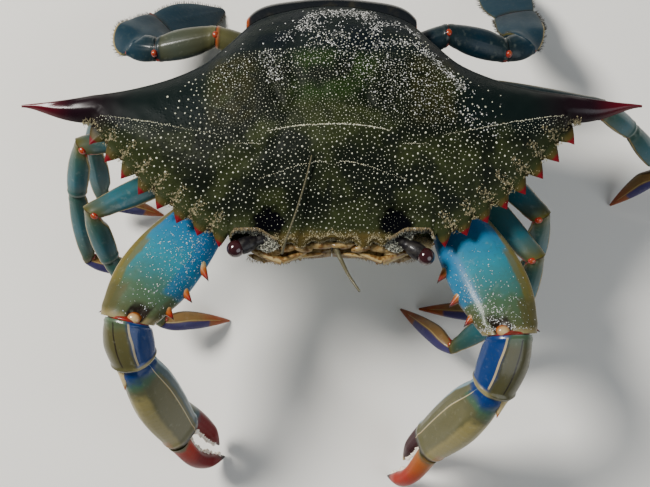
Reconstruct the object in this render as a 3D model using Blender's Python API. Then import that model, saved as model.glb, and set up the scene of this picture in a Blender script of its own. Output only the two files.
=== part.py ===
"""Blue crab, female, life size, standing with its claws lowered in front of it.

Lengths are in millimetres until finish() turns each mesh into metres. +Z is up, the crab faces -Y,
and its right side is at -X. Shapes of the body are in the body's own frame, whose plane z = 0 holds
the shell's edge; stand() tips that frame front up and lifts it to its height above the floor.
"""

import math
import random

import bmesh
import bpy
from mathutils import Matrix, Vector

MM = 0.001
GAP = 0.3
# Small step along a path, as a share of it, that shows the way it runs
NEAR = 0.01
SEED = 7

# Stance
EDGE_HEIGHT = 46.0
FRONT_UP = math.radians(9.0)
TIP_RISE = 0.25

# Shell seen from above
HALF_SPAN = 80.0
FRONT_HALF = 13.5
ORBIT_OUTER = 27.0
TEETH_START = 26.5
TEETH_END = 60.0
FRONT_Y = -35.6
ORBIT_Y = -31.6
ORBIT_STEEP = 6
TOOTH_ROW_Y = (-34.6, -6.0)
TOOTH_ROW_BULGE = 3.0
SPINE_FRONT_Y = -4.8
REAR_EDGE = ((0, 28.5), (12.5, 26.8), (20.5, 23.6), (27, 17.4), (33, 12.0), (41, 8.0),
             (50, 5.2), (60, 3.1), (70, 1.5), (80, 0.35))
SPINE_TIP_HALF = 0.35

# Shell seen from the side
CROWN = 11.5
CROWN_FALL = 1.35
FRONT_SLOPE = 2.2
REAR_SLOPE = 3.4
BELLY_DEPTH = 7.0
BELLY_HALF = 29.0
WING_DEPTH = 1.5
WING_RISE = 0.62
SPINE_DEPTH = 0.35
ORBIT_FLOOR = -4.4
ORBIT_LIP_Y = -37.0
REAR_INSET = (0.16, 3.0)

# Turn of the underside up to the front edge: parts of UNDER_REACH back from it, and of the depth
UNDER_REACH = 2.2
UNDER_FACE = ((0.5, 1.0), (0.0, 0.66), (0.2, 0.33))
UNDER_SIDE = ((2.6, 1.0), (1.0, 0.6), (0.3, 0.25))

# Swellings and hollows of the shell's top: centre across and along, reach across and along, height
SWELLINGS = ((0, -14, 13, 8, 0.7), (0, 8, 9, 8, 0.8), (24, 0, 12, 9, 0.7), (17.5, -27.5, 4.5, 4, -1.1),
             (14, -6, 3, 9, -0.7), (0, -2.5, 8, 2.2, -0.4), (0, 20, 12, 3, -0.4))

# Ridges of grains on the shell: paths in plan for the left side or the middle
RIDGES = (((1.2, -21.5), (5.4, -19.6), (9.6, -18.8), (13.4, -19.6), (17.2, -21.4)),
          ((17.0, -14.4), (20.8, -13.5), (24.8, -13.1)),
          ((28.6, -10.8), (38.5, -8.2), (48.8, -5.0), (58.6, -2.6)))
MIDDLE_RIDGES = (((-12.0, -11.4), (-6.0, -10.1), (0, -9.7), (6.0, -10.1), (12.0, -11.4)),
                 ((-7.2, -0.5), (-3.4, 0.8), (0, 1.1), (3.4, 0.8), (7.2, -0.5)))
RIDGE_HALF = 0.75
RIDGE_RISE = 0.5
RIDGE_ROOT = 1.3
RIDGE_PITCH = 2.2
RIDGE_SECTION = ((-1, -1), (-0.9, 0), (0, 1), (0.9, 0), (1, -1))

# Teeth on the shell's edge
SIDE_TEETH = 8
TOOTH_TIP_FIRST = (28.2, -37.9)
TOOTH_TIP_LAST = (62.0, -10.6)
TOOTH_TIP_BULGE = 2.3
TOOTH_TURN = (math.radians(8), math.radians(52))
TOOTH_ROOT = 6.2
TOOTH_HALF_WIDTH = (2.6, 3.4)
TOOTH_TIP_Z = 0.1
TOOTH_HALF_DEPTH = 1.25
FRONT_TEETH = ((3.7, 2.5, 3.6), (8.3, 1.9, 2.9), (12.4, 2.0, 2.2))
FRONT_TOOTH_ROOT = 2.6

# Underside of the body
THORAX_TOP = -BELLY_DEPTH - GAP
THORAX_BOTTOM = -19.5
THORAX_LEVELS = 5
THORAX_SIDES = 28
THORAX_HALF_WIDTH = 25.5
THORAX_FRONT = -31.5
THORAX_REAR = 19.5
THORAX_NARROWS = 0.42
THORAX_SHORTENS = 0.22
COXA_GROWS = ((0.0, 0.8), (0.55, 0.98), (0.85, 1.02), (1.0, 1.0))
COXA_SIDES = 10
COXA_PROUD = 1.06
COXA_INNER = (0.55, 0.78)
COXA_INNER_Z = THORAX_TOP - 5.0
MOUTH_HALF_WIDTH = 15.5
MOUTH_FRONT = -35.0
MOUTH_REAR = -24.0
MOUTH_BOTTOM = -15.5
MOUTH_OUTLINE = ((-1, 0), (1, 0), (0.9, 0.7), (0.6, 1), (-0.6, 1), (-0.9, 0.7))

# Joints where the limbs leave the body, in the body's frame, for the right side
CLAW_ROOT = (-28.5, -20.5, -12.4)
LEG_ROOTS = {2: (-29.5, -8.5, -12.3), 3: (-30.5, 1.2, -12.3), 4: (-29.0, 11.6, -12.3)}
SWIMMER_ROOT = (-20.0, 20.5, -11.4)


def stand(point):
    """A point of the body's frame, in the standing crab."""
    x, y, z = point
    return Vector((x,
                   y * math.cos(FRONT_UP) + z * math.sin(FRONT_UP),
                   -y * math.sin(FRONT_UP) + z * math.cos(FRONT_UP) + EDGE_HEIGHT))


def body_up():
    return stand((0, 0, 1)) - stand((0, 0, 0))


def heading(azimuth, elevation):
    """Unit vector from degrees; azimuth turns from +X towards +Y."""
    a = math.radians(azimuth)
    e = math.radians(elevation)
    return Vector((math.cos(a) * math.cos(e), math.sin(a) * math.cos(e), math.sin(e)))


def swell(t, start, peak, end, where):
    """A size that rises in a round curve from start to peak at where, then falls to end."""
    if t < where:
        return start + (peak - start) * math.sin(0.5 * math.pi * t / where)
    return end + (peak - end) * math.cos(0.5 * math.pi * (t - where) / (1 - where))


def mix(a, b, t):
    return a + (b - a) * t


def ease(t):
    t = min(1.0, max(0.0, t))
    return t * t * (3 - 2 * t)


def level_up(way):
    """The direction square to way that points most nearly upwards."""
    return (Vector((0, 0, 1)) - way * way.z).normalized()


def oval(centre, wide, high, sides, turn=0.0):
    angles = [2 * math.pi * (i + turn) / sides for i in range(sides)]
    return [centre + wide * math.cos(a) + high * math.sin(a) for a in angles]


def curve_at(points, x):
    """Height at x of a smooth curve through points that are sorted by x."""
    last = len(points) - 2
    i = max(k for k in range(last + 1) if points[k][0] <= x or k == 0)
    x0, y0 = points[i]
    x1, y1 = points[i + 1]

    def slope(k):
        a = points[max(k - 1, 0)]
        b = points[min(k + 1, last + 1)]
        return (b[1] - a[1]) / (b[0] - a[0])

    h = x1 - x0
    t = (x - x0) / h
    start = 0.0 if i == 0 else slope(i)
    return ((1 + 2 * t) * (1 - t) ** 2 * y0 + t * (1 - t) ** 2 * h * start
            + t * t * (3 - 2 * t) * y1 + t * t * (t - 1) * h * slope(i + 1))


def bulged(first, last, bulge, t):
    """A point of the shallow arc from first to last, bulged forwards and outwards."""
    run = Vector(last) - Vector(first)
    out = Vector((run.y, -run.x)).normalized()
    return Vector(first) + run * t + out * bulge * 4 * t * (1 - t)


def loft_mesh(rings, name="loft"):
    """Closed body through rings of equal count, with a flat end on the first and the last.

    The triangles of the second half mirror those of the first, so that a symmetric body stays so.
    """
    shape = bmesh.new()
    loops = [[shape.verts.new(p) for p in ring] for ring in rings]
    count = len(loops[0])
    for k, (low, high) in enumerate(zip(loops, loops[1:])):
        for i in range(count):
            j = (i + 1) % count
            if 2 * k < len(loops) - 1:
                shape.faces.new((low[i], low[j], high[j]))
                shape.faces.new((low[i], high[j], high[i]))
            else:
                shape.faces.new((low[i], low[j], high[i]))
                shape.faces.new((low[j], high[j], high[i]))
    shape.faces.new(loops[0])
    shape.faces.new(loops[-1])
    bmesh.ops.recalc_face_normals(shape, faces=shape.faces)
    bmesh.ops.triangulate(shape, faces=shape.faces)
    mesh = bpy.data.meshes.new(name)
    shape.to_mesh(mesh)
    shape.free()
    return mesh


def spike_mesh(root, tip, half_width, half_depth, flat, sides=6, tip_size=0.12, name="spike"):
    """Tapered spine from root to tip, flattened along the direction flat."""
    axis = (tip - root).normalized()
    depth = (flat - axis * flat.dot(axis)).normalized()
    wide = depth.cross(axis)
    shape = bmesh.new()
    bmesh.ops.create_cone(shape, cap_ends=True, segments=sides, radius1=1.0, radius2=tip_size,
                          depth=(tip - root).length)
    turn = Matrix((wide * half_width, depth * half_depth, axis)).transposed().to_4x4()
    bmesh.ops.transform(shape, matrix=Matrix.Translation((root + tip) / 2) @ turn, verts=shape.verts)
    bmesh.ops.recalc_face_normals(shape, faces=shape.faces)
    bmesh.ops.triangulate(shape, faces=shape.faces)
    mesh = bpy.data.meshes.new(name)
    shape.to_mesh(mesh)
    shape.free()
    return mesh


def ball_mesh(centre, radius, turn, name="ball"):
    shape = bmesh.new()
    bmesh.ops.create_uvsphere(shape, u_segments=12, v_segments=8, radius=radius)
    bmesh.ops.transform(shape, matrix=Matrix.Translation(centre) @ turn, verts=shape.verts)
    bmesh.ops.triangulate(shape, faces=shape.faces)
    mesh = bpy.data.meshes.new(name)
    shape.to_mesh(mesh)
    shape.free()
    return mesh


def keep_largest(obj):
    """Leaves only the largest closed surface of a mesh."""
    shape = bmesh.new()
    shape.from_mesh(obj.data)
    left = set(shape.verts)
    islands = []
    while left:
        todo = [left.pop()]
        island = set(todo)
        while todo:
            for edge in todo.pop().link_edges:
                for vert in edge.verts:
                    if vert in left:
                        left.remove(vert)
                        island.add(vert)
                        todo.append(vert)
        islands.append(island)
    islands.sort(key=len)
    for island in islands[:-1]:
        bmesh.ops.delete(shape, geom=list(island), context="VERTS")
    shape.to_mesh(obj.data)
    shape.free()


def join_into(obj, meshes):
    """Unites closed meshes with an object by one Boolean on a collection."""
    pieces = bpy.data.collections.new(obj.name + "_pieces")
    bpy.context.scene.collection.children.link(pieces)
    for mesh in meshes:
        pieces.objects.link(bpy.data.objects.new(mesh.name, mesh))
    union = obj.modifiers.new("Union", "BOOLEAN")
    union.operation = "UNION"
    union.operand_type = "COLLECTION"
    union.collection = pieces
    union.solver = "EXACT"
    bpy.context.view_layer.update()
    joined = bpy.data.meshes.new_from_object(obj.evaluated_get(bpy.context.evaluated_depsgraph_get()))
    obj.modifiers.clear()
    obj.data = joined
    for piece in list(pieces.objects):
        bpy.data.objects.remove(piece)
    bpy.data.collections.remove(pieces)
    keep_largest(obj)


def cut_flat(obj, point, normal):
    """Cuts off what lies behind a plane and closes the cut with a flat face."""
    shape = bmesh.new()
    shape.from_mesh(obj.data)
    everything = shape.verts[:] + shape.edges[:] + shape.faces[:]
    cut = bmesh.ops.bisect_plane(shape, geom=everything, dist=0.0001, plane_co=point,
                                 plane_no=normal, clear_inner=True)
    rim = [e for e in cut["geom_cut"] if isinstance(e, bmesh.types.BMEdge)]
    bmesh.ops.holes_fill(shape, edges=rim)
    bmesh.ops.remove_doubles(shape, verts=shape.verts, dist=0.005)
    bmesh.ops.dissolve_degenerate(shape, edges=shape.edges, dist=0.001)
    bmesh.ops.recalc_face_normals(shape, faces=shape.faces)
    bmesh.ops.triangulate(shape, faces=shape.faces)
    shape.to_mesh(obj.data)
    shape.free()


def cut_at_floor(obj):
    """Gives whatever reaches below the floor a small flat on it."""
    cut_flat(obj, (0, 0, 0), (0, 0, 1))


def shell_finish(name, colour, roughness, metallic=0.0):
    material = bpy.data.materials.new(name)
    material.use_nodes = True
    surface = material.node_tree.nodes["Principled BSDF"]
    surface.inputs["Base Color"].default_value = (*colour, 1.0)
    surface.inputs["Roughness"].default_value = roughness
    surface.inputs["Metallic"].default_value = metallic
    return material


def add_part(name, mesh, colour, roughness):
    obj = bpy.data.objects.new(name, mesh)
    crab.objects.link(obj)
    mesh.materials.append(shell_finish(name + "_finish", colour, roughness))
    return obj


# Colours, linear
OLIVE_BLACK = (0.028, 0.042, 0.026)
BELLY_WHITE = (0.62, 0.60, 0.52)
MAROON = (0.045, 0.010, 0.012)
CLAW_BLUE = (0.060, 0.270, 0.400)
CLAW_OLIVE = (0.240, 0.225, 0.090)
FINGER_RED = (0.420, 0.025, 0.018)
LEG_TEAL = (0.095, 0.250, 0.255)
PADDLE_NAVY = (0.015, 0.060, 0.105)
TAN = (0.300, 0.230, 0.130)


def rear_y(x):
    return curve_at(REAR_EDGE, abs(x))


def front_y(x):
    """The shell's edge in front, without its teeth."""
    a = abs(x)
    orbit_end = ORBIT_OUTER - 1.0
    if a <= FRONT_HALF:
        return FRONT_Y
    if a < orbit_end:
        t = (a - FRONT_HALF) / (orbit_end - FRONT_HALF)
        return mix(FRONT_Y, ORBIT_Y, min(1.0, ORBIT_STEEP * min(t, 1 - t)))
    if a <= TEETH_END:
        t = (a - TEETH_START) / (TEETH_END - TEETH_START)
        return mix(TOOTH_ROW_Y[0], TOOTH_ROW_Y[1], t) - TOOTH_ROW_BULGE * 4 * t * (1 - t)
    t = (a - TEETH_END) / (HALF_SPAN - TEETH_END)
    return mix(SPINE_FRONT_Y, -SPINE_TIP_HALF, ease(t * (1 + t) / 2))


def crown(x):
    return CROWN * (1 - (abs(x) / (HALF_SPAN + 2.5)) ** CROWN_FALL)


def relief(x, y):
    """Swellings and hollows of the shell's top at a place."""
    return sum(height * math.exp(-((abs(x) - cx) / rx) ** 2 - ((y - cy) / ry) ** 2)
               for cx, cy, rx, ry, height in SWELLINGS)


def top_at(x, y):
    """Height of the shell's top over a place; it runs on smoothly over the notches for the eyes."""
    front = front_y(x)
    if FRONT_HALF < abs(x) < TEETH_START:
        t = (abs(x) - FRONT_HALF) / (TEETH_START - FRONT_HALF)
        front = mix(FRONT_Y, TOOTH_ROW_Y[0], t)
    rear = rear_y(x)
    v = (2 * y - front - rear) / (rear - front)
    power = mix(FRONT_SLOPE, REAR_SLOPE, ease(0.5 + 0.5 * v))
    return crown(x) * (1 - abs(v) ** power) + relief(x, y) * (1 - v ** 6)


def wing_depth(x):
    a = abs(x)
    if a <= BELLY_HALF:
        return BELLY_DEPTH
    if a <= TEETH_END:
        t = (a - BELLY_HALF) / (TEETH_END - BELLY_HALF)
        return mix(BELLY_DEPTH, WING_DEPTH, math.sin(0.5 * math.pi * t) ** WING_RISE)
    return mix(WING_DEPTH, SPINE_DEPTH, (a - TEETH_END) / (HALF_SPAN - TEETH_END))


SHELL_ROWS = (-1.0, -0.96, -0.88, -0.77, -0.64, -0.5, -0.35, -0.2, -0.05, 0.1, 0.25, 0.4, 0.55, 0.7, 0.83,
              0.92, 0.97)
SHELL_COLUMNS = (0, 3.5, 7, 10.5, 13.5, 15.5, 18, 21, 24, 25.2, 27, 30, 34, 38, 42, 46, 50, 54, 57.5, 60,
                 63.5, 67, 71, 75.5, 80)


def shell_ring(x):
    """Cross-section of the shell at x: front edge, top to the rear edge, underside to the front."""
    front = front_y(x)
    rear = rear_y(x)
    middle = (front + rear) / 2
    half = (rear - front) / 2
    deep = wing_depth(x)
    ring = [(middle + half * v, top_at(x, middle + half * v)) for v in SHELL_ROWS]
    ring.append((rear, 0.0))
    inset = min(half * REAR_INSET[0], REAR_INSET[1])
    ring += [(rear - inset * 0.35, -deep * 0.55), (rear - inset, -deep), (middle, -deep)]
    if abs(x) <= FRONT_HALF:
        under = UNDER_FACE
    elif abs(x) < ORBIT_OUTER - 1.0:
        ring += [(ORBIT_LIP_Y + 1.2, -deep), (ORBIT_LIP_Y, ORBIT_FLOOR), (front - 0.4, ORBIT_FLOOR + 0.3)]
        under = ()
    else:
        under = UNDER_SIDE
    reach = min(half * 0.3, UNDER_REACH)
    ring += [(front + reach * back, -deep * down) for back, down in under]
    return [stand((x, y, z)) for y, z in ring]


def side_tooth(side, index):
    """One tooth of the saw edge between the eye and the side spine."""
    t = index / (SIDE_TEETH - 1)
    tip = bulged(TOOTH_TIP_FIRST, TOOTH_TIP_LAST, TOOTH_TIP_BULGE, t)
    turn = mix(*TOOTH_TURN, t)
    point = Vector((math.sin(turn), -math.cos(turn)))
    root = tip - point * TOOTH_ROOT
    half_width = mix(*TOOTH_HALF_WIDTH, math.sin(math.pi * min(1.0, t + 0.1)))
    return spike_mesh(stand((side * root.x, root.y, TOOTH_TIP_Z)), stand((side * tip.x, tip.y, TOOTH_TIP_Z)),
                      half_width * 1.25, TOOTH_HALF_DEPTH, body_up(), name="tooth")


def front_tooth(side, centre, length, half_width):
    """One of the low teeth between the eyes."""
    root = stand((side * centre, FRONT_Y + FRONT_TOOTH_ROOT, TOOTH_TIP_Z))
    tip = stand((side * centre, FRONT_Y - length, TOOTH_TIP_Z))
    return spike_mesh(root, tip, half_width, TOOTH_HALF_DEPTH, body_up(), name="front_tooth")


def along(path, place):
    """A point of a smooth curve through the points of a path; place runs from 0 to 1."""
    spots = [Vector(p) for p in path]
    place *= len(spots) - 1
    i = min(int(place), len(spots) - 2)
    t = place - i
    before = spots[max(i - 1, 0)]
    after = spots[min(i + 2, len(spots) - 1)]
    a, b = spots[i], spots[i + 1]
    return 0.5 * (2 * a + (b - before) * t + (2 * before - 5 * a + 4 * b - after) * t ** 2
                  + (3 * a - before - 3 * b + after) * t ** 3)


def ridge_mesh(path, flip, draw):
    """A low ridge on the shell's top, notched into grains and thinned out at both ends."""
    run = sum((Vector(b) - Vector(a)).length for a, b in zip(path, path[1:]))
    count = 2 * round(run / RIDGE_PITCH) + 1
    rings = []
    for k in range(count):
        place = k / (count - 1)
        spot = along(path, place)
        ahead = along(path, min(place + 0.02, 1.0)) - along(path, max(place - 0.02, 0.0))
        side = Vector((-ahead.y, ahead.x)).normalized()
        fade = math.sin(math.pi * mix(0.08, 0.92, place)) ** 0.5
        grain = draw.uniform(0.85, 1.15) if k % 2 else 0.45
        half = RIDGE_HALF * fade * mix(1.0, grain, 0.5)
        rise = RIDGE_RISE * fade * grain
        ring = []
        for across, up in RIDGE_SECTION:
            x, y = spot + side * half * across
            lift = up * (rise if up > 0 else RIDGE_ROOT)
            ring.append(stand((flip * x, y, top_at(x, y) + lift)))
        rings.append(ring)
    return loft_mesh(rings, "ridge")


def make_carapace():
    columns = [-x for x in reversed(SHELL_COLUMNS[1:])] + list(SHELL_COLUMNS)
    shell = add_part("carapace", loft_mesh([shell_ring(x) for x in columns]), OLIVE_BLACK, 0.45)
    teeth = []
    for side in (-1, 1):
        teeth += [side_tooth(side, i) for i in range(SIDE_TEETH)]
        teeth += [front_tooth(side, *size) for size in FRONT_TEETH]
    draw = random.Random(SEED)
    for path in RIDGES:
        teeth += [ridge_mesh(path, side, draw) for side in (-1, 1)]
    teeth += [ridge_mesh(path, 1, draw) for path in MIDDLE_RIDGES]
    join_into(shell, teeth)
    return shell


def thorax_ring(level):
    """Outline of the underside at one level, rounder and smaller lower down."""
    t = level / (THORAX_LEVELS - 1)
    z = mix(THORAX_TOP, THORAX_BOTTOM, t)
    shrink = 1 - THORAX_NARROWS * t ** 2.2
    middle = (THORAX_FRONT + THORAX_REAR) / 2
    half = (THORAX_REAR - THORAX_FRONT) / 2 * (1 - THORAX_SHORTENS * t ** 2)
    ring = []
    for i in range(THORAX_SIDES):
        a = 2 * math.pi * i / THORAX_SIDES
        c, s = math.cos(a), math.sin(a)
        x = THORAX_HALF_WIDTH * shrink * math.copysign(abs(c) ** 0.8, c)
        y = middle + half * math.copysign(abs(s) ** 0.8, s)
        ring.append(stand((x, y, z)))
    return ring


def make_thorax(limbs):
    body = add_part("thorax", loft_mesh([thorax_ring(k) for k in range(THORAX_LEVELS)]),
                    BELLY_WHITE, 0.5)
    face = []
    for y, drop in ((MOUTH_REAR, 1.0), (MOUTH_FRONT, 0.0)):
        face.append([stand((x * MOUTH_HALF_WIDTH, y, mix(THORAX_TOP - drop, MOUTH_BOTTOM, z)))
                     for x, z in MOUTH_OUTLINE])
    pieces = [loft_mesh(face, "mouth_frame")]
    for limb in limbs:
        pieces.append(coxa_mesh(limb))
    join_into(body, pieces)
    return body


def coxa_mesh(limb):
    """Drum on the thorax that carries a limb; its outer face lies in the limb's first joint."""
    normal = limb.normals[0]
    end = limb.points[0] - normal * GAP / 2
    size = [half * COXA_PROUD for half in limb.first_size]
    inner = stand((limb.root[0] * COXA_INNER[0], limb.root[1] * COXA_INNER[1], COXA_INNER_Z))
    run = end - inner
    rings = []
    for t, grow in COXA_GROWS:
        turned = ease(t * 1.3)
        facing = (run.normalized() * (1 - turned) + normal * turned).normalized()
        up = level_up(facing)
        lead = up.cross(facing)
        rings.append(oval(inner + run * t, lead * size[0] * grow, up * size[1] * grow, COXA_SIDES))
    return loft_mesh(rings, "coxa")


class Limb:
    """A chain of joints: points, directions between them and the planes where pieces meet."""

    def __init__(self, side, root, steps, first_size, out):
        self.side = side
        self.root = (root[0] * -side, root[1], root[2])
        self.first_size = first_size
        self.points = [stand(self.root)]
        self.directions = []
        for length, azimuth, elevation in steps:
            if elevation is None:
                drop = self.points[-1].z - TIP_RISE
                elevation = -math.degrees(math.asin(drop / length))
            direction = heading(azimuth, elevation)
            self.directions.append(direction)
            self.points.append(self.points[-1] + direction * length)
        self.normals = [(heading(*out) + self.directions[0]).normalized()]
        for a, b in zip(self.directions, self.directions[1:]):
            self.normals.append((a + b).normalized())
        self.normals.append(self.directions[-1])


def limb_rings(limb, index, shape, stations, sides, roll=0.0, last=False):
    """Cross-sections of one piece of a limb, from joint to joint."""
    fore, hind, top, bottom = shape["fore"], shape["hind"], shape["top"], shape["bottom"]
    rise = shape.get("bow", 0.0)
    corner = shape.get("corner", 1.0)
    a, b = limb.normals[index], limb.normals[index + 1]
    direction = limb.directions[index]
    start = limb.points[index] + a * GAP / 2
    end = limb.points[index + 1] - (Vector() if last else b * GAP / 2)
    if last:
        b = direction
    rings = []
    for k in range(stations):
        t = k / (stations - 1)
        facing = direction
        if t < TURN_SHARE:
            facing = a.lerp(direction, ease(t / TURN_SHARE)).normalized()
        if t > 1 - TURN_SHARE:
            facing = b.lerp(direction, ease((1 - t) / TURN_SHARE)).normalized()
        up = level_up(facing)
        lead = up.cross(facing) * -limb.side
        up, lead = (up * math.cos(roll) - lead * math.sin(roll),
                    lead * math.cos(roll) + up * math.sin(roll))
        centre = start + (end - start) * t + up * rise * 4 * t * (1 - t)
        widths = (swell(t, *fore), swell(t, *hind), swell(t, *top), swell(t, *bottom))
        ring = []
        for i in range(sides):
            angle = 2 * math.pi * (i + 0.5) / sides
            c, s = math.cos(angle), math.sin(angle)
            x = math.copysign(abs(c) ** corner, c) * (widths[0] if c > 0 else widths[1])
            z = math.copysign(abs(s) ** corner, s) * (widths[2] if s > 0 else widths[3])
            ring.append(centre + lead * x + up * z)
        rings.append(ring)
    return rings


# Share of a piece's length in which its cross-sections turn into the plane of a joint
TURN_SHARE = 0.4

# Shapes of the limbs' pieces: half sizes at the start, at the widest, at the end, and where it is
LEG_SHAPES = {
    "merus": dict(fore=(2.6, 3.7, 2.9, 0.5), hind=(2.6, 3.5, 2.9, 0.5),
                  top=(2.0, 2.5, 2.2, 0.5), bottom=(2.0, 2.4, 2.1, 0.5)),
    "carpus": dict(fore=(2.5, 2.9, 2.5, 0.55), hind=(2.5, 3.1, 2.4, 0.6),
                   top=(2.0, 2.5, 2.0, 0.5), bottom=(1.9, 2.0, 1.8, 0.5)),
    "propodus": dict(fore=(2.3, 3.1, 1.9, 0.45), hind=(2.3, 2.9, 1.9, 0.45),
                     top=(1.7, 2.1, 1.5, 0.4), bottom=(1.7, 2.0, 1.5, 0.4)),
    "dactyl": dict(fore=(1.9, 2.8, 0.3, 0.2), hind=(1.8, 2.6, 0.3, 0.2),
                   top=(1.4, 1.6, 0.3, 0.12), bottom=(1.4, 1.5, 0.3, 0.12), bow=1.0),
}
LEG_COUNTS = {"merus": (6, 10), "carpus": (6, 10), "propodus": (6, 10), "dactyl": (7, 8)}

# Poses: root direction, then length, azimuth and elevation of each piece; None reaches the floor
LEG_POSES = {
    (-1, 2): ((-158, 8), ((37, -153, 9), (16, -75, -44), (25, -52, -38), (22.5, 3, None))),
    (-1, 3): ((-178, 8), ((36.5, -166, 10), (16, -108, -46), (23, -88, -47), (22.5, -14, None))),
    (-1, 4): ((165, 6), ((33, -163, 12), (14, -125, -52), (20, -90, -55), (19.5, -12, None))),
    (1, 2): ((-30, 6), ((37, -51, 8), (16, -101, -42), (25, -148, -38), (22.5, 139, None))),
    (1, 3): ((-14, 6), ((36.5, -48, 7), (16, -90, -52), (23, -122, -46), (22.5, 175, None))),
    (1, 4): ((20, 4), ((44, -11, 6), (14, -19, -42), (20, -34, -44), (19.5, -144, None))),
}

CLAW_POSES = {
    -1: ((-150, 4), ((43, -123, 21.5), (10.5, -81, -26), (33, -63, -52)),
         ((-30.7, -91.6, TIP_RISE), (-32.0, -88.0, 3.0))),
    1: ((-30, 4), ((43, -68, 21.5), (14.0, -107, -22), (33, -134.5, -53)),
        ((16.3, -97.0, TIP_RISE), (20.6, -92.2, 3.0))),
}
CLAW_ROLL = math.radians(48)

SWIMMER_POSES = {
    -1: ((128, 34), ((12, 162, 10), (16.5, -170, -7), (7, 168, -22), (17, 62, -48), (25, 31, -41))),
    1: ((40, 4), ((12.5, 20, 10), (16.5, -12, -10), (7, 20, -22), (17, 96, -44), (25, 106, -38))),
}
SWIMMER_SHAPES = {
    "base": dict(fore=(2.7, 3.3, 3.0, 0.5), hind=(2.7, 3.3, 3.0, 0.5),
                 top=(2.3, 2.8, 2.6, 0.5), bottom=(2.3, 2.6, 2.4, 0.5)),
    "merus": dict(fore=(3.0, 4.2, 3.4, 0.6), hind=(3.0, 4.0, 3.2, 0.6),
                  top=(2.5, 2.8, 2.2, 0.4), bottom=(2.3, 2.4, 2.0, 0.4)),
    "carpus": dict(fore=(3.2, 3.8, 3.3, 0.5), hind=(3.2, 3.6, 3.3, 0.5),
                   top=(2.1, 2.3, 1.9, 0.5), bottom=(1.9, 2.0, 1.7, 0.5)),
    "propodus": dict(fore=(3.3, 6.9, 6.0, 0.55), hind=(3.3, 6.3, 5.8, 0.6),
                     top=(1.6, 1.7, 1.0, 0.3), bottom=(1.5, 1.5, 0.9, 0.3)),
    "paddle": dict(fore=(5.8, 7.4, 0.8, 0.3), hind=(5.6, 7.2, 0.8, 0.3),
                   top=(0.95, 1.0, 0.3, 0.3), bottom=(0.85, 0.9, 0.3, 0.3)),
}
# Share by which the end plates reach further out on one side
SWIMMER_REACH = {-1: 1.32, 1: 1.0}
SWIMMER_COUNTS = {"base": (5, 10), "merus": (6, 10), "carpus": (5, 10), "propodus": (7, 12),
                  "paddle": (9, 12)}

CLAW_SHAPES = {
    "arm": dict(fore=(4.7, 8.0, 6.4, 0.62), hind=(4.5, 10.6, 7.0, 0.68),
                top=(3.1, 5.0, 4.2, 0.6), bottom=(3.6, 4.6, 4.0, 0.5), corner=0.9),
    "wrist": dict(fore=(5.4, 5.4, 5.0, 0.5), hind=(5.8, 7.2, 6.0, 0.5),
                  top=(4.8, 5.8, 5.2, 0.5), bottom=(4.4, 5.0, 5.0, 0.5)),
    "palm": dict(fore=(3.4, 4.8, 3.6, 0.45), hind=(3.8, 5.6, 4.4, 0.5),
                 top=(4.4, 8.4, 6.6, 0.5), bottom=(3.9, 5.6, 4.4, 0.45), corner=0.92),
}
CLAW_COUNTS = {"arm": (9, 14), "wrist": (7, 14), "palm": (9, 14)}

# Spines of the claw's arm: place along it, length, and how far the tip leans forwards
ARM_SPINES = ((0.48, 3.8, 0.8), (0.63, 4.2, 1.2), (0.79, 3.4, 1.2))
ARM_SPINE_HALF = 1.25
ARM_SPINE_SUNK = 0.45
ARM_END_SPINE = 1.8
ARM_END_WIDE = 1.1
ARM_SPINE_WIDE = 1.25
SPINE_SEAT = 1.5
# Spine of the wrist: length and half sizes
WRIST_SPINE = (5.0, 1.6, 1.4)
WRIST_SPINE_LIFT = 0.4

# Keels along the palm: places round its cross-section as parts of a turn, half width and rise
KEEL_ANGLES = (0.12, 0.25, 0.38)
KEEL_HALF = 0.9
KEEL_RISE = 0.45
KEEL_SECTION = ((-1, -1.3), (-0.9, -0.25), (0, 1), (0.9, -0.25), (1, -1.3))

# Fingers
FINGER_RISE = 3.9
FINGER_BASE = (2.9, 3.1)
FINGER_TIP = 0.32
FINGER_NARROWS = 0.38
FINGER_POINT = (0.72, 1.5)
FINGER_LEAN = 1.25
FINGER_BOW = 3.6
FINGER_HOOK = 0.25
FINGER_STATIONS = 9
FINGER_SIDES = 8
THUMB_DROP = 2.0
THUMB_ROOT = 8.0
THUMB_BOW = -1.5
THUMB_BASE = (3.0, 3.0)
FINGER_TEETH = 7
FINGER_TOOTH = 1.15
FINGER_TOOTH_SPAN = (0.24, 0.84)
FINGER_TOOTH_SIZE = (1.15, 0.6)

# Eyes, in the body's frame and as on the right side: the two aren't held quite alike
EYE_CENTRES = {-1: (-24.1, -38.0, -0.7), 1: (-23.4, -40.0, -0.7)}
EYE_RADIUS = 2.2
STALK_ROOT = (-14.6, -33.7, -2.2)
STALK_FACE = (-0.894, -0.447, 0.0)
STALK_GAP = 0.72
STALK_HALF = 1.6
STALK_GROWS = ((0.0, 0.9), (0.3, 1.0), (0.7, 0.88), (1.0, 0.85))
STALK_SIDES = 10
EYE_SOCKET = 0.72

# Feelers: points of their paths in the body's frame, and half sizes at the base and the tip
RIGHT_FEELER = ((-12.2, -35.75, -3.4), (-12.6, -38.0, -2.8), (-12.4, -38.9, -0.4),
                (-11.4, -36.8, 3.2), (-8.7, -30.0, 6.4), (-6.4, -23.0, 9.4), (-5.0, -17.5, 11.2))
LEFT_FEELER = ((1.0, -35.75, -3.4), (1.2, -37.8, -3.0), (2.5, -41.0, -2.2), (4.5, -45.2, -1.0),
               (7.3, -50.0, 0.2))
FEELER_HALF = (0.55, 0.26)
FEELER_STEPS = 16
FEELER_SIDES = 6

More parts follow.
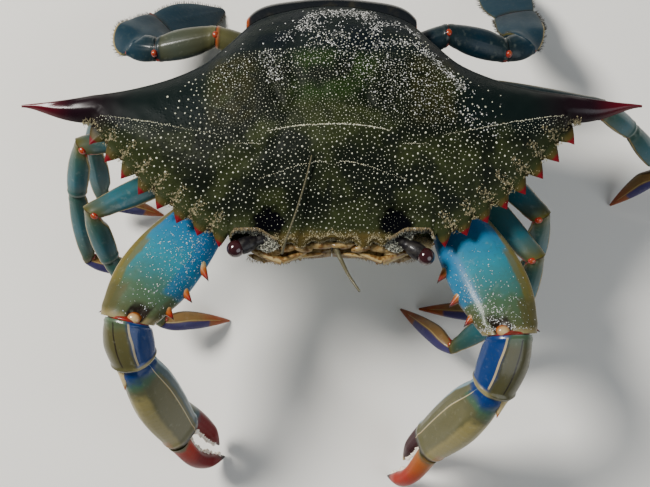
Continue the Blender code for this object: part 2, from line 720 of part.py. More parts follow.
# Mouth plates, for one side: place across, top, bottom, front and back
MOUTH_PLATE = ((0.15, -5.2, -14.6, -37.8, -35.3), (3.0, -5.0, -15.0, -38.4, -35.3),
               (6.5, -4.9, -14.6, -38.9, -35.3), (9.6, -4.9, -12.8, -39.6, -35.4),
               (12.6, -5.0, -10.8, -40.4, -37.3), (15.4, -5.4, -9.6, -40.0, -37.35),
               (17.4, -5.8, -9.0, -39.8, -37.35), (19.6, -6.0, -8.6, -39.6, -37.35),
               (21.4, -6.4, -8.2, -38.9, -37.35))

# Tail: the first rings behind the shell and the broad apron folded under the body
TAIL_HALF = 22.5
TAIL_COLUMNS = 13
TAIL_SECTION = ((0.35, -0.5), (2.0, -0.7), (3.4, -2.2), (3.3, -4.6), (1.9, -7.4), (0.2, -9.3),
                (-1.2, -9.3), (-0.9, -7.0), (-0.2, -3.9))
TAIL_FLARE = 1.9
APRON_PATH = ((25.6, -10.1), (25.2, -13.2), (23.6, -16.8), (19.6, -20.1), (12.0, -20.7),
              (3.0, -20.7), (-4.5, -20.6), (-9.8, -20.5))
APRON_HALVES = (11.0, 12.6, 14.6, 16.4, 17.2, 15.8, 11.0, 2.2)
APRON_THICK = 1.5
APRON_SECTION = ((-1, 0.35), (-0.9, 1), (-0.4, 1), (0.4, 1), (0.9, 1), (1, 0.35))


def side_name(side):
    return "right" if side < 0 else "left"


def make_legs():
    limbs = []
    for (side, number), (out, steps) in LEG_POSES.items():
        limb = Limb(side, LEG_ROOTS[number], steps, (2.6, 2.1), out)
        limbs.append(limb)
        pieces = ("merus", "carpus", "propodus", "dactyl")
        for index, piece in enumerate(pieces):
            stations, sides = LEG_COUNTS[piece]
            last = piece == "dactyl"
            rings = limb_rings(limb, index, LEG_SHAPES[piece], stations, sides, last=last)
            leg = add_part(f"{side_name(side)}_leg_{number}_{piece}", loft_mesh(rings), LEG_TEAL, 0.35)
            if last:
                cut_at_floor(leg)
    return limbs


def make_swimmers():
    limbs = []
    for side, (out, steps) in SWIMMER_POSES.items():
        limb = Limb(side, SWIMMER_ROOT, steps, (2.7, 2.4), out)
        limbs.append(limb)
        for index, piece in enumerate(("base", "merus", "carpus", "propodus", "paddle")):
            stations, sides = SWIMMER_COUNTS[piece]
            shape = dict(SWIMMER_SHAPES[piece])
            if piece in ("propodus", "paddle"):
                start, peak, end, where = shape["fore"]
                reach = SWIMMER_REACH[side]
                shape["fore"] = (start * (reach if piece == "paddle" else 1.0), peak * reach,
                                 end * (reach if piece == "propodus" else 1.0), where)
            rings = limb_rings(limb, index, shape, stations, sides, last=piece == "paddle")
            colour = PADDLE_NAVY if piece in ("propodus", "paddle") else LEG_TEAL
            add_part(f"{side_name(side)}_swimmer_{piece}", loft_mesh(rings), colour, 0.3)
    return limbs


def on_ring(ring, lean):
    """Centre of a cross-section, and the point of its rim that lies furthest along lean."""
    centre = sum(ring, Vector()) / len(ring)
    rim = max(ring, key=lambda p: (p - centre).dot(lean))
    return centre, rim


def arm_spines(limb, rings):
    """Three spines on the arm's front edge and a small one at its outer far corner."""
    direction = limb.directions[0]
    inward = Vector((-limb.side, 0, 0))
    inward = (inward - direction * inward.dot(direction)).normalized()
    length = (limb.points[1] - limb.points[0]).length
    up = Vector((0, 0, 1))
    meshes = []
    for place, height, lean in ARM_SPINES:
        centre, rim = on_ring(rings[round(place * (len(rings) - 1))], inward)
        centre = limb.points[0] + direction * place * length
        reach = (rim - centre).dot(inward)
        way = (inward + direction * lean).normalized()
        root = centre + inward * reach * ARM_SPINE_SUNK
        tip = centre + inward * reach + way * height
        meshes.append(spike_mesh(root, tip, ARM_SPINE_HALF * ARM_SPINE_WIDE, ARM_SPINE_HALF, up,
                                 name="arm_spine"))
    centre, rim = on_ring(rings[-2], -inward)
    root = mix(rim, centre, 0.35) - direction * SPINE_SEAT
    tip = rim + direction * ARM_END_SPINE
    meshes.append(spike_mesh(root, tip, ARM_SPINE_HALF * ARM_END_WIDE, ARM_SPINE_HALF, up,
                             name="arm_spine"))
    return meshes


def finger_rings(start, end, up, bow, base, facing=None):
    """Cross-sections of a bowed, pointed finger."""
    rings = []
    run = end - start
    for k in range(FINGER_STATIONS):
        t = k / (FINGER_STATIONS - 1)
        late = t ** FINGER_LEAN
        centre = start + run * t + up * bow * math.sin(math.pi * late) * (1 - FINGER_HOOK * t)
        point = max(0.0, (t - FINGER_POINT[0]) / (1 - FINGER_POINT[0])) ** FINGER_POINT[1]
        size = mix(1 - FINGER_NARROWS * t, FINGER_TIP / base[0], point)
        tangent = (run + up * bow * math.pi * math.cos(math.pi * late)).normalized()
        if facing is not None and k == 0:
            tangent = facing
        high = (up - tangent * up.dot(tangent)).normalized()
        wide = tangent.cross(high)
        rings.append(oval(centre, wide * base[1] * size, high * base[0] * size, FINGER_SIDES, 0.5))
    return rings


def finger_teeth(rings, inner, seed):
    """Blunt teeth along a finger's inner edge, larger near the hinge."""
    draw = random.Random(seed)
    meshes = []
    for k in range(FINGER_TEETH):
        t = mix(*FINGER_TOOTH_SPAN, k / (FINGER_TEETH - 1))
        place = t * (len(rings) - 1)
        low = rings[int(place)]
        high = rings[min(int(place) + 1, len(rings) - 1)]
        centre_a, rim_a = on_ring(low, inner)
        centre_b, rim_b = on_ring(high, inner)
        centre = centre_a.lerp(centre_b, place % 1)
        rim = rim_a.lerp(rim_b, place % 1)
        reach = (rim - centre).dot(inner)
        size = mix(*FINGER_TOOTH_SIZE, t) * draw.uniform(0.8, 1.2)
        root = centre + inner * reach * 0.35
        tip = centre + inner * (reach + FINGER_TOOTH * size)
        step = (centre_b - centre_a).normalized()
        meshes.append(spike_mesh(root, tip, FINGER_TOOTH * 0.7 * size, FINGER_TOOTH * 0.85 * size, step,
                                 sides=5, tip_size=0.3, name="finger_tooth"))
    return meshes


def make_claws():
    limbs = []
    for side, (out, steps, tips) in CLAW_POSES.items():
        limb = Limb(side, CLAW_ROOT, steps, (4.7, 4.0), out)
        limbs.append(limb)
        name = side_name(side) + "_claw_"
        arm_rings = limb_rings(limb, 0, CLAW_SHAPES["arm"], *CLAW_COUNTS["arm"])
        arm = add_part(name + "arm", loft_mesh(arm_rings), CLAW_BLUE, 0.3)
        join_into(arm, arm_spines(limb, arm_rings))

        wrist_rings = limb_rings(limb, 1, CLAW_SHAPES["wrist"], *CLAW_COUNTS["wrist"])
        wrist = add_part(name + "wrist", loft_mesh(wrist_rings), CLAW_OLIVE, 0.35)
        centre, rim = on_ring(wrist_rings[-2], Vector((limb.side, 0, WRIST_SPINE_LIFT)))
        root = mix(rim, centre, 0.4) - limb.directions[1] * SPINE_SEAT
        way = (limb.directions[1] + limb.directions[2]).normalized()
        way = (way + Vector((0, 0, WRIST_SPINE_LIFT))).normalized()
        length, wide, deep = WRIST_SPINE
        join_into(wrist, [spike_mesh(root, rim + way * length, wide, deep, Vector((0, 0, 1)))])

        make_hand(limb, name, *(Vector(tip) for tip in tips))
    return limbs


def keel_mesh(rings, angle, half, rise):
    """A low keel along the outside of a lofted piece, at an angle round its cross-sections."""
    count = len(rings[0])
    middles = [sum(ring, Vector()) / count for ring in rings]
    keel = []
    for k in range(1, len(rings) - 1):
        spot = rings[k][round(angle * count) % count]
        out = (spot - middles[k]).normalized()
        side = (middles[k + 1] - middles[k - 1]).cross(out).normalized()
        top = rise * math.sin(math.pi * mix(0.15, 0.85, (k - 1) / (len(rings) - 3)))
        keel.append([spot + out * up * (top if up > 0 else 1) + side * half * across
                     for across, up in KEEL_SECTION])
    return loft_mesh(keel, "keel")


def make_hand(limb, name, tip, thumb_tip):
    """The palm with its fixed finger, and the finger that moves."""
    axis = limb.directions[2]
    level = (Vector((0, 0, 1)) - axis * axis.z).normalized()
    outward = level.cross(axis) * limb.side
    up = (level * math.cos(CLAW_ROLL) + outward * math.sin(CLAW_ROLL)).normalized()
    end = limb.points[3]
    palm_rings = limb_rings(limb, 2, CLAW_SHAPES["palm"], *CLAW_COUNTS["palm"], roll=CLAW_ROLL)
    hand = add_part(name + "palm", loft_mesh(palm_rings), CLAW_OLIVE, 0.35)

    hinge = end + up * FINGER_RISE + axis * GAP / 2
    way = (tip - hinge).normalized()
    rings = finger_rings(hinge, tip, up, FINGER_BOW, FINGER_BASE, facing=axis)
    finger = add_part(name + "finger", loft_mesh(rings), FINGER_RED, 0.3)
    inner = (-up + way * up.dot(way)).normalized()
    join_into(finger, finger_teeth(rings, inner, SEED + limb.side))
    cut_at_floor(finger)

    start = end - up * THUMB_DROP - axis * THUMB_ROOT
    thumb_rings = finger_rings(start, thumb_tip, up, THUMB_BOW, THUMB_BASE)
    pieces = [loft_mesh(thumb_rings, "thumb")]
    pieces += finger_teeth(thumb_rings[3:], -inner, SEED + 4 + limb.side)
    pieces += [keel_mesh(palm_rings, angle, KEEL_HALF, KEEL_RISE) for angle in KEEL_ANGLES]
    join_into(hand, pieces)
    cut_at_floor(hand)


def make_eyes():
    for side in (-1, 1):
        def here(point):
            return stand((-side * point[0], point[1], point[2]))

        centre = here(EYE_CENTRES[side])
        face = (here(STALK_FACE) - here((0, 0, 0))).normalized()
        root = here(STALK_ROOT) + face * STALK_GAP
        way = (centre - root).normalized()
        end = centre - way * (EYE_RADIUS * EYE_SOCKET + GAP)
        rings = []
        for t, grow in STALK_GROWS:
            facing = face.lerp(way, ease(t * 2)).normalized()
            up = level_up(facing) * STALK_HALF * grow
            rings.append(oval(root + (end - root) * t, up.cross(facing), up, STALK_SIDES))
        add_part(side_name(side) + "_eyestalk", loft_mesh(rings), TAN, 0.5)

        up = level_up(way)
        turn = Matrix((up.cross(way), up, way)).transposed().to_4x4()
        eye = add_part(side_name(side) + "_eye", ball_mesh(centre, EYE_RADIUS, turn), MAROON, 0.1)
        cut_flat(eye, centre - way * EYE_RADIUS * EYE_SOCKET, way)


def path_rings(points, halves, steps, sides):
    """Round cross-sections along a smooth path through points; the first faces forwards."""
    spots = [stand(p) for p in points]
    rings = []
    for k in range(steps + 1):
        t = k / steps
        way = along(spots, min(t + NEAR, 1.0)) - along(spots, max(t - NEAR, 0.0))
        if k == 0:
            way = heading(-90, 0)
        wide = way.cross(Vector((0.3, 0.1, 1.0))).normalized()
        high = wide.cross(way).normalized()
        half = mix(*halves, t)
        rings.append(oval(along(spots, t), wide * half, high * half, sides))
    return rings


def make_feelers():
    for side, path in ((-1, RIGHT_FEELER), (1, LEFT_FEELER)):
        rings = path_rings(path, FEELER_HALF, FEELER_STEPS, FEELER_SIDES)
        add_part(side_name(side) + "_feeler", loft_mesh(rings), TAN, 0.5)


def make_mouth():
    """The broad outer mouthparts, one plate a side, flat behind and crowned in front."""
    for side in (-1, 1):
        rings = []
        for x, top, bottom, front, back in MOUTH_PLATE:
            crowned = mix(front, back, 0.55)
            section = ((front, top - 0.8), (front + 0.6, top), (back - 0.4, top - 0.2), (back, top - 0.9),
                       (back, bottom + 0.6), (back - 0.4, bottom), (back - 1.0, bottom + 0.3),
                       (crowned, mix(top, bottom, 0.6)))
            rings.append([stand((side * x, y, z)) for y, z in section])
        add_part(side_name(side) + "_mouth_plate", loft_mesh(rings), TAN, 0.5)


def make_tail():
    rings = []
    for k in range(TAIL_COLUMNS):
        x = mix(-TAIL_HALF, TAIL_HALF, k / (TAIL_COLUMNS - 1))
        out = abs(x) / TAIL_HALF
        flare = TAIL_FLARE * out ** 2 * (1 - out ** 8)
        taper = 1 - 0.3 * out ** 6
        section = [(rear_y(x) + y + (flare if y > 1 else 0), z * taper) for y, z in TAIL_SECTION]
        rings.append([stand((x, y, z)) for y, z in section])
    add_part("tail_rings", loft_mesh(rings), OLIVE_BLACK, 0.5)


def make_apron():
    """The broad flap that lies folded under the body, thin at its edge."""
    rings = []
    for k, ((y, z), half) in enumerate(zip(APRON_PATH, APRON_HALVES)):
        ahead = Vector(APRON_PATH[min(k + 1, len(APRON_PATH) - 1)])
        behind = Vector(APRON_PATH[max(k - 1, 0)])
        way = (ahead - behind).normalized()
        ring = []
        for face in (1, -1):
            for x, thick in APRON_SECTION:
                lift = face * thick * APRON_THICK / 2
                ring.append(stand((face * x * half, y - way.y * lift, z + way.x * lift)))
        rings.append(ring)
    add_part("apron", loft_mesh(rings), BELLY_WHITE, 0.5)


def finish():
    """Sets the crab over the origin, standing on z = 0, and turns millimetres into metres."""
    corners = [v.co for obj in crab.objects for v in obj.data.vertices]
    low = Vector([min(c[i] for c in corners) for i in range(3)])
    high = Vector([max(c[i] for c in corners) for i in range(3)])
    shift = Vector((-(low.x + high.x) / 2, -(low.y + high.y) / 2, -low.z))
    for obj in crab.objects:
        obj.data.transform(Matrix.Scale(MM, 4) @ Matrix.Translation(shift))
        obj.data.shade_smooth()
        obj.data.set_sharp_from_angle(angle=math.radians(40))


for old in list(bpy.data.objects):
    bpy.data.objects.remove(old)
crab = bpy.data.collections.new("blue_crab")
bpy.context.scene.collection.children.link(crab)

all_limbs = make_claws() + make_legs() + make_swimmers()
make_carapace()
make_thorax(all_limbs)
make_eyes()
make_feelers()
make_mouth()
make_tail()
make_apron()
finish()
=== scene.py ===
"""Looks of a life-size blue crab: its shell, claws, legs, face and underside, and a plain studio round it.

Shapes are worked out in millimetres. The body's own frame has its plane z = 0 through the shell's edge and
the crab facing -Y; stand() tips it front up, and world() sets a standing point in the loaded frame.
"""
import math
import random

import bpy
import numpy as np
from bpy.props import FloatProperty, FloatVectorProperty, IntProperty, PointerProperty
from mathutils import Matrix, Vector, noise

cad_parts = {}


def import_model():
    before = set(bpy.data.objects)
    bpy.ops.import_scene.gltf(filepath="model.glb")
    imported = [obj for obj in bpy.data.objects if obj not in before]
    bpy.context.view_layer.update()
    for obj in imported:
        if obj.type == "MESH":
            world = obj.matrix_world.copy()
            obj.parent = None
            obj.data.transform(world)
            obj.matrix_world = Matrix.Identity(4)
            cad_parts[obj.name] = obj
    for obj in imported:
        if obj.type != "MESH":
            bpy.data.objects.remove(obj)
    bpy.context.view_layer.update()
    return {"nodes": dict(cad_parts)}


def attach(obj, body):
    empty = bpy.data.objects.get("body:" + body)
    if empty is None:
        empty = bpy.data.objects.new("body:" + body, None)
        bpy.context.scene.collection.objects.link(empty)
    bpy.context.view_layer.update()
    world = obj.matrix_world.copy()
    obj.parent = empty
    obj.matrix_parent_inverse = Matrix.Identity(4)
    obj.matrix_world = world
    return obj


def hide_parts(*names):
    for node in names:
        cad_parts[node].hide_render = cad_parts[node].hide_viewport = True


bl_info = {
    "name": "Blue Crab Looks",
    "version": (1, 0, 0),
    "blender": (4, 5, 0),
    "location": "View3D > Sidebar > Crab",
    "description": "Dresses the blue crab model: shell, claws, legs, face, underside and studio",
    "category": "Object",
}

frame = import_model()

MM = 0.001
BODY = "root"

# Stance, as the frame holds it
EDGE_HEIGHT = 46.0
FRONT_UP = math.radians(9.0)
TIP_RISE = 0.25
GAP = 0.3

# Shell seen from above
HALF_SPAN = 80.0
FRONT_HALF = 13.5
ORBIT_END = 26.0
TEETH_START = 26.5
TEETH_END = 60.0
SPINE_START = 61.5
FRONT_Y = -35.6
ORBIT_Y = -33.4
TOOTH_ROW_Y = (-34.6, -6.0)
TOOTH_ROW_BULGE = 3.0
SPINE_FRONT_Y = -4.8
SPINE_TIP_HALF = 0.35
REAR_EDGE = ((0, 28.5), (12.5, 26.8), (20.5, 23.6), (27, 17.4), (33, 12.0), (41, 8.0),
             (50, 5.2), (60, 3.1), (70, 1.5), (80, 0.35))

# Shell seen from the side
CROWN = 11.5
CROWN_FALL = 1.35
FRONT_SLOPE = 2.2
REAR_SLOPE = 3.4
BELLY_DEPTH = 7.0
BELLY_HALF = 29.0
WING_DEPTH = 1.5
WING_RISE = 0.62
SPINE_DEPTH = 0.35
ORBIT_FLOOR = -4.4
ORBIT_LIP_Y = -37.0
EDGE_Z = 0.1

# Swellings and hollows of the shell's top: centre across and along, reach across and along, height
SWELLINGS = ((0, -14, 13, 8, 0.7), (0, 8, 9, 8, 0.8), (24, 0, 12, 9, 0.7), (16.0, -30.4, 4.4, 2.4, -2.4),
             (0, -2.5, 8, 2.2, -0.4), (0, 20, 12, 3, -0.4), (7.5, -25, 4.5, 3, 0.5),
             (30, -19, 8, 5, 0.5), (44, -12, 9, 4, 0.3), (24.5, -24, 3, 4, -0.5), (9.5, -24, 6, 3.4, 0.5))

# Grooves of the shell's top: path for one side, depth and half width
GROOVES = ((((15.5, -24.5), (13.4, -19.5), (13.9, -14.6), (11.2, -9.0), (9.4, -3.0)), 0.2, 1.7),
           (((9.4, -3.0), (8.6, 1.5), (9.6, 7.5), (8.8, 15.5)), 0.3, 1.5),
           (((13.9, -14.6), (19.0, -16.6), (25.0, -20.0), (30.0, -24.4)), 0.3, 1.6),
           (((8.2, -1.6), (5.0, 0.4), (2.0, -0.3)), 0.45, 0.8),
           (((14.5, 0.0), (11.4, -5.2), (8.2, -1.6)), 0.45, 0.8),
           (((0.0, -30.0), (0.0, -20.5)), 0.35, 1.0))
RIM_RISE = 0.34
RIM_WIDTH = 0.5
RIM_INSET = 0.75

# Ridges of grains: paths in plan for one side or the middle
SIDE_RIDGES = (((0.7, -19.4), (2.6, -18.7), (5.4, -19.0), (9.8, -19.9), (14.6, -21.4), (18.6, -22.4)),
               ((17.3, -14.1), (20.6, -13.8), (24.0, -13.8)),
               ((27.9, -11.3), (36.5, -9.3), (45.7, -6.9), (52.5, -5.4), (59.0, -4.2)))
MIDDLE_RIDGES = (((-16.2, -10.9), (-9.7, -9.9), (0, -9.6), (9.7, -9.9), (14.2, -10.8)),)

# Gap and size of the grains on the faint ridges and on the strong ones in the middle
RIDGE_FAINT = (0.36, 1.0)
RIDGE_STRONG = (0.2, 1.25)

# Teeth on the shell's edge
SIDE_TEETH = 8
TOOTH_TIP_FIRST = (28.2, -37.9)
TOOTH_TIP_LAST = (62.0, -10.6)
TOOTH_TIP_BULGE = 2.3
TOOTH_TURN = (math.radians(8), math.radians(52))
TOOTH_FOOT = 3.8
FRONT_TEETH = ((2.9, 1.0, 2.4), (7.9, 2.4, 3.3), (12.5, 1.9, 2.2))

# How finely the shell is cut
TOP_ROWS = 96
STRIP_ROWS = 5
MIDDLE_STEP = 0.36
ORBIT_COLUMNS = 30
TOOTH_COLUMNS = 8
SPINE_COLUMNS = 32

# The shell's lower side near its edge, as parts of its depth: back and down; plain, and beside the wings
UNDER_EDGE = ((0.7, 1.0), (0.35, 0.85), (0.1, 0.62), (0.05, 0.4), (0.2, 0.2), (0.1, 0.06))
UNDER_WING = ((2.6, 1.0), (1.8, 0.82), (1.0, 0.6), (0.6, 0.42), (0.3, 0.25), (0.1, 0.1))

# Numbers of small bodies, and the half width of a hair
GRAIN_TRIES = 110000
NOTCH_CRUMBS = 1000
FRONT_CRUMBS = 900
ORBIT_HAIRS = 900
ORBIT_CRUMBS = 2600
ARM_SPECKS = 900
PLATE_HAIRS = 520
MOUTH_HAIRS = 7
HAIR_HALF = 0.045
FULL_TURN = 6.28

# Fixed colours: painted shade in the hollows above the orbits, dust on felt and specks, grime and chalk on the limbs
HOLLOW_PAINTED_SHADE = (0.0015, 0.0015, 0.003)
FELT_DUST = (0.2, 0.17, 0.1)
SPECK_DUST = (0.2, 0.2, 0.19)
ARM_DUST = (0.3, 0.34, 0.36)
GRIME = (0.05, 0.06, 0.04)
CHALK = (0.6, 0.62, 0.5)

# Drifts of pale specks on the shell: path in plan, reach to its sides and number
SPECK_DRIFTS = ((((-8.1, 18.4), (-4.6, 23.6), (2.2, 24.6), (9.8, 25.4)), 1.08, 344),
                (((1.0, 23.5), (9.0, 24.5), (10.5, 20.0)), 1.35, 197),
                (((9.7, 16.6), (15.1, 21.4), (22.9, 18.0)), 0.675, 197),
                (((10.7, 12.2), (17.4, 14.4), (23.3, 12.7), (27.5, 8.5), (31.2, 4.1), (34.1, 1.4)),
                 0.81, 344),
                (((-17.0, 11.7), (-15.1, 7.0), (-13.5, 2.7)), 1.08, 107),
                (((-13.2, 14.7), (-8.1, 17.8), (-3.8, 19.4)), 0.81, 90),
                (((-1.0, 19.0), (2.0, 12.0), (8.0, 6.0), (20.0, 4.0), (29.0, -6.0)), 3.51, 426),
                (((33.0, -5.0), (37.0, -7.5), (41.0, -9.0)), 1.62, 57),
                (((-23.3, 9.3), (-26.9, 3.5)), 2.025, 49),
                (((-14.0, 8.0), (-4.0, 15.0), (6.0, 15.0), (18.0, 9.0), (30.0, -1.0)), 4.59, 344),
                (((8.0, 2.0), (20.0, -2.0), (31.0, -6.0)), 4.05, 123))

# Limbs: roots for the right side in the body's frame; then for each limb the way out of the body, and
# length, azimuth and elevation of each piece, where None reaches the floor
CLAW_ROOT = (-28.5, -20.5, -12.4)
LEG_ROOTS = {2: (-29.5, -8.5, -12.3), 3: (-30.5, 1.2, -12.3), 4: (-29.0, 11.6, -12.3)}
SWIMMER_ROOT = (-20.0, 20.5, -11.4)
LEG_POSES = {
    (-1, 2): ((-158, 8), ((37, -153, 9), (16, -75, -44), (25, -52, -38), (22.5, 3, None))),
    (-1, 3): ((-178, 8), ((36.5, -166, 10), (16, -108, -46), (23, -88, -47), (22.5, -14, None))),
    (-1, 4): ((165, 6), ((33, -163, 12), (14, -125, -52), (20, -90, -55), (19.5, -12, None))),
    (1, 2): ((-30, 6), ((37, -51, 8), (16, -101, -42), (25, -148, -38), (22.5, 139, None))),
    (1, 3): ((-14, 6), ((36.5, -48, 7), (16, -90, -52), (23, -122, -46), (22.5, 175, None))),
    (1, 4): ((20, 4), ((44, -11, 6), (14, -19, -42), (20, -34, -44), (19.5, -144, None))),
}
CLAW_POSES = {
    -1: ((-150, 4), ((43, -123, 21.5), (10.5, -81, -26), (33, -63, -52)),
         ((-30.7, -91.6, TIP_RISE), (-32.0, -88.0, 3.0))),
    1: ((-30, 4), ((43, -68, 21.5), (14.0, -107, -22), (33, -134.5, -53)),
        ((16.3, -97.0, TIP_RISE), (20.6, -92.2, 3.0))),
}
CLAW_ROLL = math.radians(48)
SWIMMER_POSES = {
    -1: ((128, 34), ((12, 162, 10), (16.5, -170, -7), (7, 168, -22), (17, 62, -48), (25, 31, -41))),
    1: ((40, 4), ((12.5, 20, 10), (16.5, -12, -10), (7, 20, -22), (17, 96, -44), (25, 106, -38))),
}
TURN_SHARE = 0.4

# Half sizes of the limbs' pieces: at the start, at the widest, at the end, and where it is widest
LEG_SHAPES = {
    "merus": dict(fore=(2.6, 3.7, 2.9, 0.5), hind=(2.6, 3.5, 2.9, 0.5),
                  top=(2.0, 2.5, 2.2, 0.5), bottom=(2.0, 2.4, 2.1, 0.5)),
    "carpus": dict(fore=(2.5, 2.9, 2.5, 0.55), hind=(2.5, 3.1, 2.4, 0.6),
                   top=(2.0, 2.5, 2.0, 0.5), bottom=(1.9, 2.0, 1.8, 0.5)),
    "propodus": dict(fore=(2.3, 3.1, 1.9, 0.45), hind=(2.3, 2.9, 1.9, 0.45),
                     top=(1.7, 2.1, 1.5, 0.4), bottom=(1.7, 2.0, 1.5, 0.4)),
    "dactyl": dict(fore=(1.9, 2.8, 0.3, 0.2), hind=(1.8, 2.6, 0.3, 0.2),
                   top=(1.4, 1.6, 0.3, 0.12), bottom=(1.4, 1.5, 0.3, 0.12), bow=1.0),
}
SWIMMER_SHAPES = {
    "base": dict(fore=(2.7, 3.3, 3.0, 0.5), hind=(2.7, 3.3, 3.0, 0.5),
                 top=(2.3, 2.8, 2.6, 0.5), bottom=(2.3, 2.6, 2.4, 0.5)),
    "merus": dict(fore=(3.0, 4.2, 3.4, 0.6), hind=(3.0, 4.0, 3.2, 0.6),
                  top=(2.5, 2.8, 2.2, 0.4), bottom=(2.3, 2.4, 2.0, 0.4)),
    "carpus": dict(fore=(3.2, 3.8, 3.3, 0.5), hind=(3.2, 3.6, 3.3, 0.5),
                   top=(2.1, 2.3, 1.9, 0.5), bottom=(1.9, 2.0, 1.7, 0.5)),
    "propodus": dict(fore=(3.3, 6.9, 6.0, 0.55), hind=(3.3, 6.3, 5.8, 0.6),
                     top=(1.6, 1.7, 1.0, 0.3), bottom=(1.5, 1.5, 0.9, 0.3)),
    "paddle": dict(fore=(5.8, 7.4, 0.8, 0.3), hind=(5.6, 7.2, 0.8, 0.3),
                   top=(0.95, 1.0, 0.3, 0.3), bottom=(0.85, 0.9, 0.3, 0.3)),
}
# The leg piece that lies wholly in shade and is painted dark as shade: side, number and piece
SHADED_PIECE = (1, 4, "merus")

# A band round a limb that is thinner than this runs straight
THIN_BAND = 0.01

# Front halves of the right swimming leg's end plates, which reach further out than the left one's
RIGHT_PLATES = {"propodus": (3.3, 8.8, 4.6, 0.35), "paddle": (4.4, 5.6, 0.8, 0.3)}
CLAW_SHAPES = {
    "arm": dict(fore=(4.7, 8.0, 6.4, 0.62), hind=(4.5, 10.6, 7.0, 0.68),
                top=(3.1, 5.0, 4.2, 0.6), bottom=(3.6, 4.6, 4.0, 0.5), corner=0.9),
    "wrist": dict(fore=(5.4, 5.4, 5.0, 0.5), hind=(5.8, 7.2, 6.0, 0.5),
                  top=(4.8, 5.8, 5.2, 0.5), bottom=(4.4, 5.0, 5.0, 0.5)),
    "palm": dict(fore=(3.4, 4.8, 3.6, 0.45), hind=(3.8, 5.6, 4.4, 0.5),
                 top=(4.4, 8.4, 6.6, 0.5), bottom=(3.9, 5.6, 4.4, 0.45), corner=0.92),
}

# Spines of the claw's arm: place along it, length, and how far the tip leans forwards
ARM_SPINES = ((0.48, 3.8, 0.8), (0.63, 4.2, 1.2), (0.79, 3.4, 1.2))
ARM_SPINE_HALF = 1.3
WRIST_SPINE_REACH = 6.8
WRIST_SPINE_HALF = 2.4
WRIST_SPINE_LIFT = 0.4
PALM_KEELS = (0.955, 0.11, 0.26, 0.38)

# Fingers
FINGER_RISE = 3.9
FINGER_BASE = (2.9, 3.1)
FINGER_TIP = 0.32
FINGER_NARROWS = 0.38
FINGER_POINT = (0.72, 1.5)
FINGER_LEAN = 1.25
FINGER_BOW = 3.6
FINGER_HOOK = 0.25
THUMB_DROP = 2.0
THUMB_ROOT = 8.0
THUMB_BOW = -1.5
THUMB_BASE = (3.0, 3.0)
FINGER_TEETH = 11
FINGER_TOOTH = 1.15

# Face, in the body's frame, for the right side
EYE_CENTRES = {-1: (-24.1, -38.0, -0.7), 1: (-23.4, -40.0, -0.7)}
EYE_RADIUS = 2.2
STALK_ROOT = (-14.6, -33.7, -2.2)
STALK_FACE = (-0.894, -0.447, 0.0)
STALK_HALF = 1.6
RIGHT_FEELER = ((-12.2, -35.75, -3.4), (-12.6, -38.0, -2.8), (-12.4, -38.9, -0.4),
                (-11.4, -36.8, 3.2), (-8.7, -30.0, 6.4), (-6.4, -23.0, 9.4), (-5.0, -17.5, 11.2))
LEFT_FEELER = ((1.0, -35.75, -3.4), (1.2, -37.8, -3.0), (2.5, -41.0, -2.2), (4.2, -44.9, -1.0),
               (6.8, -49.2, 0.2))
FEELER_HALF = {-1: (0.462, 0.176), 1: (0.88, 0.286)}
FEELER_JOINTS = 420
MOUTH_PLATE = ((0.15, -5.2, -14.6, -37.8, -35.3), (3.0, -5.0, -15.0, -38.4, -35.3),
               (6.5, -4.9, -14.6, -38.9, -35.3), (9.6, -4.9, -12.8, -39.6, -35.4),
               (12.6, -5.0, -10.8, -40.4, -37.3), (15.4, -5.4, -9.6, -40.0, -37.35),
               (17.4, -5.8, -9.0, -39.8, -37.35), (19.6, -6.0, -8.6, -39.6, -37.35),
               (21.4, -6.4, -8.2, -38.9, -37.35))

# Lumps of the feelers' bases: place, half width, half height and turn
FEELER_BASES = ((14.4, -37.3, -3.6, 2.4, 1.0, 0.25), (11.2, -37.2, -2.7, 2.2, 1.2, -0.15),
                (7.4, -37.4, -2.5, 2.5, 1.1, 0.15), (2.7, -36.6, -2.3, 3.1, 1.1, 0.0))

# How pale the mouth plates are round their section
MOUTH_LIP = (0.9, 1, 0.6, 0, 0, 0, 0, 0, 0, 0, 0, 0, 0.2, 0.7)

# Leaves over the mouth plates, for the right side: root, tip and half width
MOUTH_LEAVES = (((12.6, -40.2, -4.5), (6.2, -37.9, -3.9), 0.85), ((12.6, -40.1, -4.8), (20.8, -37.0, -4.8), 1.15),
                ((8.4, -38.9, -4.4), (2.2, -38.2, -4.4), 0.6), ((18.6, -38.2, -4.6), (13.0, -38.3, -3.9), 0.7))

# Tail behind the shell, and the apron under the body
TAIL_HALF = 22.5
TAIL_SECTION = ((0.35, -0.5), (2.0, -0.7), (3.4, -2.2), (3.3, -4.6), (1.9, -7.4), (0.2, -9.3),
                (-1.2, -9.3), (-0.9, -7.0), (-0.2, -3.9))
TAIL_FLARE = 1.9
APRON_PATH = ((25.6, -10.1), (25.2, -13.2), (23.6, -16.8), (19.6, -20.1), (12.0, -20.7),
              (3.0, -20.7), (-4.5, -20.6), (-9.8, -20.5))
APRON_HALVES = (11.0, 12.6, 14.6, 16.4, 17.2, 15.8, 11.0, 2.2)
APRON_THICK = 1.5
APRON_SEAMS = (0.14, 0.28, 0.42, 0.56, 0.7, 0.84)

# Camera: the standing frame's place of the lens, its tip back from straight down, and its lens
CAMERA_PLACE = (-1.75, -72.98, 349.85)
CAMERA_TIP = math.radians(7.0)
CAMERA_LENS = 66.63


def stand(point):
    """A point of the body's frame, in the standing crab."""
    x, y, z = point
    return Vector((x,
                   y * math.cos(FRONT_UP) + z * math.sin(FRONT_UP),
                   -y * math.sin(FRONT_UP) + z * math.cos(FRONT_UP) + EDGE_HEIGHT))


